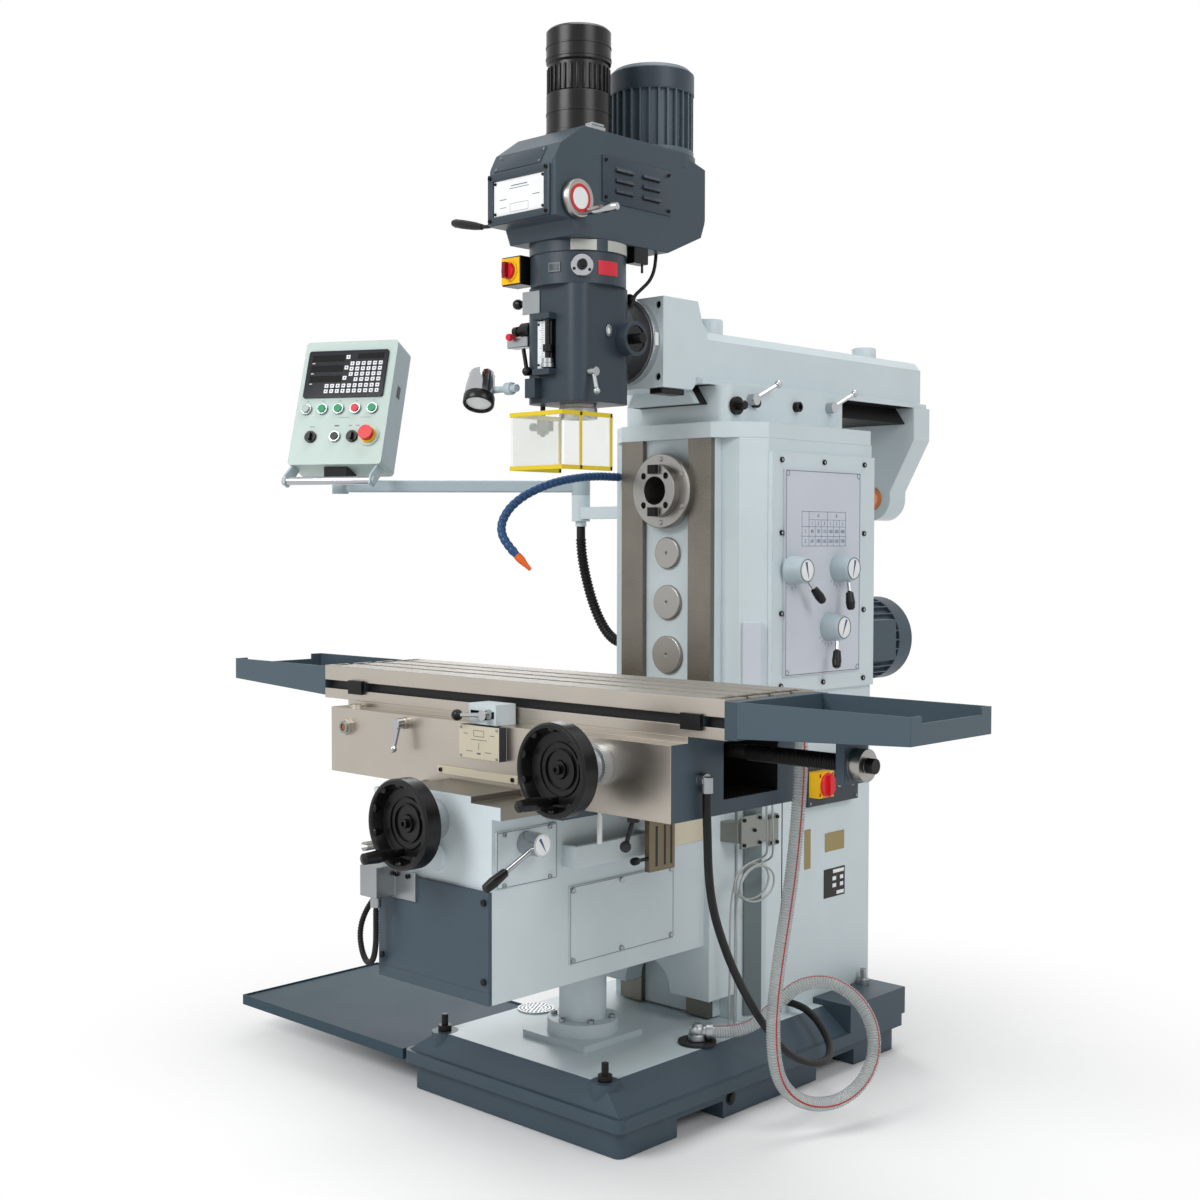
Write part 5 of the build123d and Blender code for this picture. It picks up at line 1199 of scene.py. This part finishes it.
fit(tile(at(on_chamfer(1.0405), -0.006, 0), 0.046, 0.153, 0.01, 0.001), "label_box", "frame", "box_white")
column_side = right_side(0.24)
fit(tiles(column_side, [(0.272, 0.54, 0.026, 0.1), (0.389, 0.546, 0.084, 0.048)], 0.0012), "brass_plates",
    "frame", "brass_plate")
fit(tile(at(column_side, 0.389, 0.44), 0.092, 0.074, 0.0012), "data_plate", "frame", "black_moulding_and_shade")
data_fields = [(0.406, 0.468, 0.048, 0.009), (0.388, 0.45, 0.016, 0.01), (0.42, 0.45, 0.014, 0.01),
               (0.388, 0.432, 0.016, 0.01), (0.42, 0.432, 0.014, 0.01), (0.414, 0.412, 0.032, 0.009)]
fit(tiles(at(column_side, 0, 0, 0.0012), data_fields, 0.0003, 0.0001), "data_fields", "frame", "plate_white")
fit(tile(at(column_side, 0.166, 0.535), 0.0035, 0.77, 0.0006, 0.0001), "column_seam", "frame",
    "black_glass_and_shade")
switch_face = right_side(0.296, 0.273, 0.709)
knob_rings = [(0.0285, 0.0), (0.03, 0.0012), (0.03, 0.008), (0.0285, 0.0096), (0.012, 0.0098)]
fit(lathe(knob_rings, 48, switch_face), "switch_knob", "main_switch", "knob_red")
fit(sleeve(0.0318, 0.0304, 0.003, 48, switch_face), "switch_ring", "frame", "switch_yellow")
locks = [(x, y, 0.006, 0.009) for x, y in corners(0.026, 0.024)]
fit(tiles(switch_face, locks, 0.0006), "switch_locks", "frame", "lock_red")
panel_box = right_side(0.266)
fit(copies(sleeve(0.0165, 0.0114, 0.006), [at(panel_box, 0.366, 0.707), at(panel_box, 0.423, 0.705)]),
    "column_bezels", "frame", "bezel_silver")
fit(screws(panel_box, [(y, z) for y in (0.247, 0.446) for z in (0.661, 0.753)], 0.0035, 0.0025),
    "switch_screws", "frame", "bright_zinc")

# %% [markdown]
# The apron carries an oil sight, a cream plate with bare symbols, a slot for the feed lever and a light
# strip below. All of them are thin, so they are laid on the casting as tiles and rings, which leaves its own
# mesh alone.

# %% Apron fittings
sight = front(-0.481, -0.619, 0.864)
fit(sleeve(0.015, 0.0092, 0.0045, 32, sight), "sight_ring", "saddle", "bezel_silver")
glass_rings = [(0.0092, 0.0), (0.009, 0.0018), (0.006, 0.0026)]
fit(lathe(glass_rings, 28, sight), "sight_glass", "saddle", "sight_amber")
plate_face = front(0.009, -0.629, 0.869)
symbol_lines = [(0, 0.006, 0.05, 0.0014), (-0.043, 0.018, 0.014, 0.0014), (0.043, 0.018, 0.014, 0.0014),
                (0, -0.008, 0.0014, 0.016), (-0.03, -0.02, 0.02, 0.0014), (0.03, -0.02, 0.02, 0.0014),
                (0, -0.024, 0.012, 0.004)]
symbols = [frame_piece(at(plate_face, 0, 0.02), 0.034, 0.014, 0.0012, 0.0003),
           tiles(plate_face, symbol_lines, 0.0003, 0.0001)]
fit(symbols, "apron_symbols", "saddle", "mark_gray")
fit(screws(plate_face, corners(0.058, 0.031), 0.003, 0.002), "apron_plate_screws", "saddle", "bright_zinc")
# Painted shade: the lever's slot is a black tile.
fit(tile(front(0.012, -0.621, 0.931), 0.076, 0.016, 0.0006), "lever_slot", "saddle", "black_glass_and_shade")
strip = front(-0.019, -0.607, 0.7945)
fit(tile(strip, 0.262, 0.019, 0.005, 0.001), "apron_strip", "saddle", "strip_cream")
fit(screws(at(strip, 0, 0, 0.005), [(-0.118, 0), (0.118, 0)], 0.005, 0.003), "strip_screws", "saddle",
    "black_screw")

# %% [markdown]
# The handwheels are dished, with finger bumps inside the rim. One bump is turned, half sunk in the rim, and
# copied round the axis. Rings round the hub, a hub screw and fine lines on the dial complete them.

# %% Handwheels
for name, x, z, face, dial_end in (("cross_handwheel", 0.005, 0.716, -0.858, -0.773),
                                   ("traverse_handwheel", 0.35, 0.853, -0.75, -0.632)):
    wheel = front(x, face, z)
    bump = lathe([(0.0075, -0.028), (0.01, -0.025), (0.01, -0.005), (0.007, -0.002)], 20)
    fit(copies(bump, [wheel @ turned(36 * step + 18) @ shift(0.087, 0, 0) for step in range(10)]),
        f"{name}_bumps", name, "black_moulding_and_shade")
    fit([sleeve(outer, bore, 0.01, 48, at(wheel, 0, 0, -0.038))
         for outer, bore in ((0.042, 0.039), (0.056, 0.0535))], f"{name}_rings", name, "black_moulding_and_shade")
    fit(cap_screw(0.01, 0.008, at(wheel, 0, 0, -0.0262)), f"{name}_bolt", name, "black_screw")
    dial_lines = round_marks(front(x, dial_end + 0.0035, z), 0.0429, [7.5 * step for step in range(48)],
                             0.006, 0.0007)
    fit(dial_lines, f"{name}_marks", name, "mark_gray")

# %% [markdown]
# Covers on the knee have thin outlines and small screws. A cover could be cut loose from the casting, but
# its seam is all that shows, so a thin frame is laid along it. A ribbed conduit hangs from the limit switch
# in one loop and runs back into the side of the knee.

# %% Knee covers
feed_face = right_side(0.184, -0.65, 0.6465)
side_face = right_side(0.184, -0.349, 0.474)
fit([frame_piece(face, width, height, 0.0012, 0.0005)
     for face, width, height in ((feed_face, 0.174, 0.117), (side_face, 0.342, 0.168))],
    "cover_outlines", "knee", "mark_gray")
fit(screws(feed_face, corners(0.067, 0.0535), 0.0052, 0.0035), "feed_plate_screws", "knee", "bright_zinc")
feed_hub = right_side(0.236, -0.656, 0.676)
fit(thin_disc(feed_hub, 0.0208), "feed_hub_face", "knee_feed_lever", "plate_white")
fit(pointer(feed_hub, 0.007, 0.034, 30), "feed_hub_pointer", "knee_feed_lever", "line_blue")
fit(screws(front(0, -0.763, 0), [(-0.108, 0.583), (-0.071, 0.583)], 0.0055, 0.0045), "bracket_screws", "knee",
    "black_screw")
limit_route = [
    (-0.15, -0.789, 0.51), (-0.15, -0.789, 0.465), (-0.151, -0.7885, 0.425), (-0.168, -0.782, 0.385),
    (-0.205, -0.769, 0.368), (-0.243, -0.755, 0.385), (-0.262, -0.747, 0.425), (-0.258, -0.738, 0.465),
    (-0.24, -0.722, 0.505), (-0.212, -0.705, 0.532), (-0.18, -0.692, 0.545)]
lay("limit_tube", limit_route, "black_conduit", 0.0136, body="knee", rib=(0.008, 0.006, 0.0058, bellows),
    sides=16)

# %% [markdown]
# Under the saddle lie a white channel on the knee's side, a bronze trip block, and the reading head of the
# height scale with its thin armoured cables, which turn one loop beside the column and go down to the base.
# The channel is a block whose top is inset and pushed down, and the cables are bevelled curves, because they
# are smooth.

# %% Under the saddle
channel = plate(0.042, 0.25, 0.048, 0.0015)
pick(channel, lambda centre, normal: normal.z > 0.9)
bpy.ops.mesh.inset(thickness=0.005)
push(-0.034)
fit(closed(channel, shift(0.201, -0.417, 0.607)), "knee_channel", "knee", "rail_white")
rod_rings = [(0.0045, 0.0), (0.006, 0.004), (0.006, 0.06), (0.0042, 0.064), (0.0042, 0.098)]
fit(lathe(rod_rings, 20, stand((0.233, -0.48, 0.655))), "push_rod", "saddle", "plate_white")
fit(tile(right_side(0.244, -0.303, 0.664), 0.087, 0.177, 0.016, 0.0015), "trip_block", "saddle",
    "trip_bronze")
# Painted shade: the slots of the trip block are black tiles.
trip_slots = [(-0.02, 0, 0.007, 0.09), (0.008, 0, 0.006, 0.09), (0.03, 0, 0.006, 0.09)]
fit(tiles(right_side(0.26, -0.303, 0.632), trip_slots, 0.0006), "trip_slots", "saddle", "black_glass_and_shade")
lever_rings = [(0.004, 0.0), (0.004, 0.03), (0.008, 0.032), (0.009, 0.036), (0.009, 0.046),
               (0.007, 0.05)]
fit(lathe(lever_rings, 20, stand((0.252, -0.345, 0.606), (0, -1, 0))), "trip_lever", "saddle",
    "black_moulding_and_shade")
fit(tile(right_side(0.18, -0.105, 0.63), 0.15, 0.056, 0.004, 0.0008), "knee_scale", "knee", "strip_cream")
fit(tile(on_chamfer(0.5425), 0.046, 0.765, 0.006, 0.001), "scale_strip", "frame", "strip_gray")
reader_face = right_side(0.243)
reader = [tile(at(reader_face, 0.032, 0.618), 0.078, 0.076, 0.008, 0.001),
          tile(at(reader_face, 0.12, 0.611), 0.036, 0.076, 0.008, 0.001),
          bar((0.18, -0.004, 0.618), (0.244, 0.004, 0.618), 0.036, 0.05, (0, 1, 0)),
          bar((0.247, 0.03, 0.615), (0.247, 0.112, 0.612), 0.005, 0.05, (1, 0, 0))]
fit(reader, "scale_reader", "knee", "reader_gray")
reader_screws = [(y, z) for y in (0.002, 0.062) for z in (0.588, 0.648)] + [(0.042, 0.62)]
reader_screws += [(y, z) for y in (0.11, 0.131) for z in (0.58, 0.642)]
fit(screws(at(reader_face, 0, 0, 0.008), reader_screws, 0.0046, 0.004), "reader_screws", "knee",
    "black_screw")
cable_route = [
    (0.482, -0.215, 0.752), (0.472, -0.2, 0.725), (0.426, -0.14, 0.682), (0.372, -0.066, 0.628),
    (0.328, -0.008, 0.59), (0.295, 0.03, 0.566), (0.27, 0.026, 0.552), (0.263, -0.012, 0.543),
    (0.262, -0.044, 0.522), (0.262, -0.05, 0.488), (0.262, -0.016, 0.462), (0.262, 0.04, 0.458),
    (0.262, 0.084, 0.48), (0.262, 0.084, 0.522), (0.261, 0.036, 0.546), (0.259, -0.014, 0.538),
    (0.254, -0.042, 0.5), (0.248, -0.045, 0.44), (0.245, -0.043, 0.36), (0.244, -0.041, 0.28),
    (0.242, -0.042, 0.21), (0.242, -0.042, 0.145)]
for number, beside in enumerate((Vector((0, 0, 0)), Vector((0.009, 0.01, -0.006))), 1):
    path = [Vector(point) + beside for point in cable_route]
    path[0].z, path[-1].z = cable_route[0][2], cable_route[-1][2]
    lay(f"scale_cable_{number}", path, "cable_gray", 0.005)

# %% [markdown]
# On the base lie a perforated strainer, the bolts of the pedestal's ring and a drain plug in the side. The
# strainer's holes are not cut: a thin black disc in each paints the shade inside it, and it is copied in
# rings.

# %% Base fittings
def on_circle(radius, count, first=0.0):
    """Places spread round the origin."""
    angles = [first + 2 * math.pi * step / count for step in range(count)]
    return [(radius * math.cos(angle), radius * math.sin(angle)) for angle in angles]


holes = [(0, 0)]
for ring, radius in enumerate((0.01, 0.02, 0.03, 0.039), 1):
    holes += on_circle(radius, 6 * ring)
# Painted shade: each hole is a thin black disc.
hole = lathe([(0.003, 0.0), (0.003, 0.0003)], 10)
fit(copies(hole, [shift(-0.229 + x, -0.221 + y, 0.149) for x, y in holes]), "strainer_holes", "frame",
    "black_glass_and_shade")
ring_places = on_circle(0.07, 6, math.radians(30))
fit(screws(shift(0, -0.29, 0.191), ring_places, 0.0075, 0.008), "ring_bolts", "frame", "bright_zinc")
plug_rings = [(0.016, 0.0), (0.016, 0.002), (0.011, 0.0022), (0.011, 0.006), (0.009, 0.007)]
fit(lathe(plug_rings, 24, right_side(0.337, -0.152, 0.04)), "drain_plug", "frame", "black_screw")

# %% [markdown]
# The head carries many small fittings. Its collar is round, so plates on it are curved: a small upright
# rectangle is spun round the collar's axis through the plate's angle. Angles are counted from the direction
# to the camera.

# %% Head collar
camera_side = -45.8


def wrapped(radius, thick, low, high, angle, width):
    """A curved plate on the head's collar: its middle angle and its width along the curve."""
    piece = begin(bpy.ops.mesh.primitive_plane_add, (thick, high - low, 1), size=1,
                  location=(radius + thick / 2, 0, (low + high) / 2), rotation=(math.pi / 2, 0, 0))
    all_faces()
    bpy.ops.mesh.spin(steps=14, angle=width / radius, center=(0, 0, 0), axis=(0, 0, 1))
    start = camera_side + angle + math.degrees(width / radius / 2)
    return closed(piece, Matrix.Translation(spindle_axis) @ turned(start))


def on_collar(z, angle):
    """The frame of a place on the collar, facing out."""
    turn = math.radians(camera_side + angle)
    out = Vector((math.cos(turn), math.sin(turn), 0))
    return stand(spindle_axis + out * 0.111 + Vector((0, 0, z)), out)


fit([wrapped(0.114, 0.0012, 1.9665, 1.9905, angle, width) for angle, width in ((6, 0.06), (55, 0.078))],
    "neck_plates", "head", "neck_silver")
fit(wrapped(0.111, 0.0012, 1.913, 1.945, 38, 0.056), "collar_plate", "head", "enamel_red")
fit(wrapped(0.111, 0.003, 1.919, 1.94, -29, 0.03), "collar_sight", "head", "sight_gray")
fit(wrapped(0.1112, 0.0034, 1.9225, 1.9365, -29, 0.023), "collar_glass", "head", "sight_dark")
feed_seat = on_collar(1.932, 4)
seat_rings = [(0.0255, -0.006), (0.0255, 0.0065), (0.024, 0.0085), (0.016, 0.0088)]
fit(lathe(seat_rings, 44, feed_seat), "feed_seat", "head", "bright_chrome")
knob_rings = [(0.012, 0.008), (0.012, 0.014), (0.01, 0.016), (0.01, 0.03), (0.0085, 0.033)]
feed_knob = [lathe(knob_rings, 28, feed_seat)]
feed_knob += [lathe([(0.0036, 0.008), (0.0036, 0.0094), (0.003, 0.0096)], 14, at(feed_seat, x, y))
              for x, y in ((0.017, -0.011), (-0.018, -0.009))]
fit(feed_knob, "feed_knob", "head", "black_moulding_and_shade")
clamp_rings = [(0.003, 0.0), (0.003, 0.02), (0.006, 0.021), (0.006, 0.025)]
fit([bar((0.09, -0.205, 1.955), (0.09, -0.205, 1.993), 0.03, 0.048, (1, 0, 0), 0.002),
     lathe(clamp_rings, 16, stand((0.094, -0.192, 1.936)))], "neck_clamp", "head", "black_moulding_and_shade")
motor_route = [(0.07, -0.116, 1.992), (0.07, -0.118, 1.962), (0.07, -0.136, 1.928), (0.068, -0.166, 1.904),
               (0.064, -0.19, 1.884), (0.06, -0.194, 1.858)]
lay("motor_cable", motor_route, "black_conduit", 0.0084, body="head")

# %% [markdown]
# Below the collar: the quill's depth scale with its nut, the feed trip on the left, oil sights, and the
# degree scale on the flange that the head tilts on. Knobs and levers are turned from a profile, as on a
# lathe, which is how the real ones are made.

# %% Head fittings
scale_front = front(-0.02, -0.4085, 1.76)
scale_lines = [(0.004 if step % 5 else 0.001, -0.048 + 0.004 * step, 0.008 if step % 5 else 0.014, 0.0008)
               for step in range(25)]
fit(tiles(scale_front, scale_lines, 0.0003, 0.0001), "depth_marks", "head", "mark_gray")
fit(screws(scale_front, [(-0.008, -0.046), (-0.008, 0.046)], 0.0028, 0.0018), "scale_screws", "head",
    "black_screw")
# Painted shade: the slot beside the depth scale is a black tile.
fit(tile(front(0.006, -0.4005, 1.76), 0.026, 0.112, 0.0008), "depth_slot", "head", "black_glass_and_shade")
fit([sleeve(0.015, 0.0062, 0.009, 36, stand((0.004, -0.4125, 1.7065))),
     sleeve(0.013, 0.0062, 0.01, 36, stand((0.004, -0.4125, 1.7165)))], "depth_nut", "head", "bright_zinc")
fit([tile(front(-0.06, -0.4005, 1.86), 0.056, 0.052, 0.003, 0.0006),
     bar((-0.06, -0.398, 1.86), (-0.06, -0.376, 1.86), 0.05, 0.046, (1, 0, 0), 0.001)],
    "head_plate", "head", "bright_zinc")
stick_rings = [(0.0045, 0.0), (0.0045, 0.04), (0.008, 0.041), (0.0118, 0.047), (0.0125, 0.053),
               (0.0105, 0.06), (0.006, 0.064)]
dial_rings = [(0.019, 0.0), (0.019, 0.03), (0.016, 0.034), (0.009, 0.035), (0.009, 0.046),
              (0.012, 0.048), (0.012, 0.06), (0.0095, 0.063)]
ball_rings = [(0.006, -0.01), (0.0105, -0.005), (0.0115, 0.0), (0.0105, 0.005), (0.006, 0.01)]
trip = [lathe(stick_rings, 24, stand((-0.085, -0.37, 1.867), (-1, 0, 0))),
        lathe(dial_rings, 28, stand((-0.085, -0.372, 1.803), (-1, 0, 0))),
        bar((-0.096, -0.392, 1.758), (-0.072, -0.405, 1.708), 0.008, 0.008, (0, 1, 0), 0.001),
        lathe(ball_rings, 24, stand((-0.07, -0.406, 1.703)))]
fit(trip, "feed_trip", "head", "black_moulding_and_shade")
fit(bar((-0.148, -0.38, 1.774), (-0.08, -0.38, 1.774), 0.034, 0.024, (0, 1, 0), 0.002),
    "trip_bracket", "head", "bright_zinc")
knob_rings = [(0.004, -0.012), (0.004, 0.006), (0.0085, 0.007), (0.009, 0.012), (0.0075, 0.017)]
fit(lathe(knob_rings, 20, stand((-0.126, -0.397, 1.786), (0, -1, 0))), "trip_knob", "head", "enamel_red")
oil_sight = right_side(0.092, -0.305, 1.792) @ Matrix.Diagonal((1, 1.35, 1, 1))
fit(sleeve(0.01, 0.0062, 0.003, 28, oil_sight), "oil_ring", "head", "bright_zinc")
eye_rings = [(0.0062, 0.0), (0.006, 0.0012), (0.004, 0.0018)]
fit(lathe(eye_rings, 20, oil_sight), "oil_eye", "head", "plate_white")
boss_face = right_side(0.12, -0.245, 1.777)
fit(sleeve(0.04, 0.031, 0.006, 48, at(boss_face, 0, 0, -0.002)), "boss_lip", "head", "head_gray")
fit(sleeve(0.0312, 0.011, 0.0008, 40, boss_face), "boss_dish", "head", "black_glass_and_shade")
degrees = [5 * step for step in range(-32, 5)]
fit(round_marks(front(0, -0.15, 1.787), 0.1039, degrees, 0.007, 0.0007), "degree_marks", "head", "mark_gray")
fit(tile(right_side(0.1038, -0.151, 1.787), 0.012, 0.03, 0.0012), "vernier", "head", "plate_white")
knob_rings = [(0.005, -0.004), (0.005, 0.006), (0.011, 0.008), (0.012, 0.012), (0.011, 0.02),
              (0.006, 0.023)]
fit(lathe(knob_rings, 24, stand((0.048, -0.188, 1.87), (0.5, 0, 0.866))), "tilt_knob", "head",
    "black_moulding_and_shade")
fit(screws(front(0, -0.128, 0), [(x, z) for x in (-0.098, 0.098) for z in (1.7, 1.869)], 0.0088, 0.006),
    "nose_screws", "ram", "black_screw")
# Painted shade: a black bar under the right side of the ram's nose stands for the shadow there.
fit(bar((0.086, -0.134, 1.668), (0.086, -0.052, 1.668), 0.04, 0.014, (1, 0, 0), 0.002), "nose_shade_bar", "ram",
    "black_moulding_and_shade")
fit(screws(right_side(0.17), [(0.134, 1.652), (0.306, 1.652)], 0.013, 0.014), "turret_bolts", "turret",
    "black_screw")

# %% [markdown]
# The feed screw under the right tray shows its thread, so rings stand round it at the pitch of the thread. A
# true helix would look the same from here and needs far more faces. The emergency stop has a yellow collar,
# and the pendant turns on a black swivel.

# %% Feed screw, emergency stop and swivel
thread_places = [stand((0.585 + 0.0062 * step, -0.406, 0.88), (1, 0, 0)) for step in range(39)]
fit(copies(sleeve(0.0172, 0.0148, 0.0032, 24), thread_places), "feed_thread", "table", "thread_black")
fit(sleeve(0.0225, 0.011, 0.013, 44, at(pendant_face, 0.091, -0.101)), "stop_ring", "pendant",
    "switch_yellow")
swivel_top = pendant_place - face_up * 0.1835 - face_out * 0.045
swivel_foot = swivel_top - Vector((0, 0, 0.026))
fit(bar(swivel_foot, swivel_top + Vector((0, 0, 0.01)), 0.07, 0.06, face_right, 0.002), "swivel_block",
    "pendant", "black_moulding_and_shade")

# %% [markdown]
# More of the small forms: a thin bent speed lever in place of the plain one, the yellow plate and red knob
# of the head switch, caps on the ram, the skirt below the knee's cover, the flat sheet in the splash tray,
# and the pipe elbow. The lever's rod bends, so it is a bevelled curve that is made a mesh, and the others
# are turned or bevelled blocks.

# %% Speed lever, head switch and other small forms
lever_y = -0.368
lever_bend = Vector((-0.262, lever_y, 2.065))
lever_tip = Vector((-0.369, lever_y, 2.089))
lever_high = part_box("speed_lever")[1]
lever_hub = lever_high[0] - 0.016
hub_rings = [(0.014, 0.0), (0.016, 0.002), (0.016, 0.026), (0.014, 0.028), (0.007, 0.0285)]
hub = lathe(hub_rings, 32, stand((lever_hub, lever_high[1], 2.07), (0, -1, 0)))
rod_route = [(lever_hub, lever_y, 2.07), (-0.18, lever_y, 2.071), (-0.225, lever_y, 2.062), lever_bend,
             (-0.276, lever_y, 2.068)]
thin_rod = route("lever_rod", rod_route, 0.0048)
bpy.ops.object.select_all(action="DESELECT")
thin_rod.select_set(True)
bpy.context.view_layer.objects.active = thin_rod
bpy.ops.object.convert(target="MESH")
rod_mesh = bpy.context.object
grip_rings = [(0.0052, 0.0), (0.0072, 0.002), (0.01, 0.03), (0.0112, 0.07), (0.0108, 0.098),
              (0.008, 0.108), (0.004, 0.1105)]
grip = lathe(grip_rings, 28, stand(lever_bend, lever_tip - lever_bend))
fit([hub, rod_mesh, grip], "speed_handle", "speed_lever", "black_moulding_and_shade", "speed_lever")
switch_front = front(-0.109, -0.419, 1.936)
fit(tile(switch_front, 0.06, 0.06, 0.0035, 0.0008), "head_switch_plate", "head", "switch_yellow")
knob_rings = [(0.0195, 0.0), (0.0195, 0.006), (0.018, 0.0082), (0.009, 0.0086)]
fit(lathe(knob_rings, 40, at(switch_front, 0, 0, 0.0068)), "head_switch_disc", "head_switch_knob", "knob_red")
caps = []
for y, high in ((0.095, 0.038), (0.77, 0.028)):
    cap_rings = [(0.033, 0.0), (0.0345, 0.0005), (0.0345, high - 0.006), (0.0325, high - 0.0012),
                 (0.028, high)]
    caps.append(lathe(cap_rings, 48, stand((0.06, y, 1.8222))))
fit(caps, "ram_caps", "ram", "rail_white")
skirt_low, skirt_high = 0.346, 0.373
fit(tile(front(0, -0.748, (skirt_low + skirt_high) / 2), 0.36, skirt_high - skirt_low, 0.009, 0.0006),
    "knee_skirt", "knee", "skirt_gray")
tray_low, tray_high = [Vector(corner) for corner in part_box("splash_tray")]
tray_size = tray_high - tray_low
tray_middle = (tray_low + tray_high) / 2
fit(tile(shift(tray_middle.x, tray_middle.y, tray_high.z - 0.007), tray_size.x - 0.0076, tray_size.y - 0.0076,
         0.003, 0.0004), "tray_sheet", "frame", "tray_gray")
low_rings = [(0.0165, -0.006), (0.0212, -0.004), (0.0212, 0.008), (0.019, 0.01), (0.0165, 0.011)]
side_rings = [(0.0155, 0.02), (0.0205, 0.021), (0.0205, 0.035), (0.019, 0.037), (0.0155, 0.0375)]
ball_rings = [(0.01, -0.0165), (0.0155, -0.0115), (0.0188, -0.004), (0.0192, 0.004), (0.016, 0.0115),
              (0.01, 0.0165)]
fit([lathe(low_rings, 32, stand((0.235, -0.15, 0.157))),
     lathe(side_rings, 32, stand((0.235, -0.15, 0.171), (0.03, 0.026, 0))),
     lathe(ball_rings, 32, stand((0.235, -0.15, 0.1735)))], "drain_elbow", "frame", "bright_zinc")

# %% [markdown]
# Soft studio light: one large lamp from the front, a weaker one from the right, a broad one above and one
# from behind on the left. The world lights a little from all sides. What the camera, a reflection or a clear
# pane sees of it is plain white, and the floor turns from a shaded floor near the machine into that same
# white further out.

# %% World, lamps and floor
world = bpy.data.worlds.new("studio")
bpy.context.scene.world = world
world.use_nodes = True
sky = Nodes(world.node_tree)
background = sky.tree.nodes["Background"].inputs
sky.feed(background["Color"], (1, 1, 1))
sky.feed(background["Strength"], sky.seen() * 0.66 + 0.34)


def soft_lamp(name, place, towards, size, power):
    data = bpy.data.lights.new(name, "AREA")
    data.shape = "DISK"
    data.size = size
    data.energy = power
    lamp = bpy.data.objects.new(name, data)
    lamp.location = place
    lamp.rotation_euler = (Vector(towards) - Vector(place)).to_track_quat("-Z", "Y").to_euler()
    bpy.context.scene.collection.objects.link(lamp)


soft_lamp("key", (-0.6, -4.6, 3.8), (0, -0.2, 1.1), 2.6, 150)
soft_lamp("side", (4.4, -0.8, 3.6), (0, 0, 1.3), 2.4, 68)
soft_lamp("above", (0.3, 0.4, 5.6), (0, 0, 0.8), 3.0, 84)
soft_lamp("back", (-3.4, 3.0, 3.0), (0, 0, 1.2), 2.4, 55)

floor = begin(bpy.ops.mesh.primitive_circle_add, vertices=96, radius=40, fill_type="NGON",
              location=(0, 0, -0.001))
floor.name = "floor"
finish = Finish("floor")
finish.shade(Base_Color=(0.93, 0.93, 0.93), Roughness=0.7)
away = finish.vector("LENGTH", "Value", finish.place)
far = finish.node("ShaderNodeMapRange", {"interpolation_type": "SMOOTHSTEP"},
                  {"Value": away, "From Min": 0.5, "From Max": 1.8})
white = finish.node("ShaderNodeEmission")
shaded = Value(finish.tree, finish.shader.outputs[0])
mixed = finish.node("ShaderNodeMixShader", inputs={0: finish.seen() * far, 1: shaded, 2: white})
finish.feed(finish.tree.nodes["Material Output"].inputs["Surface"], mixed)
floor.data.materials.append(finish.material)
print("floor and lamps set")
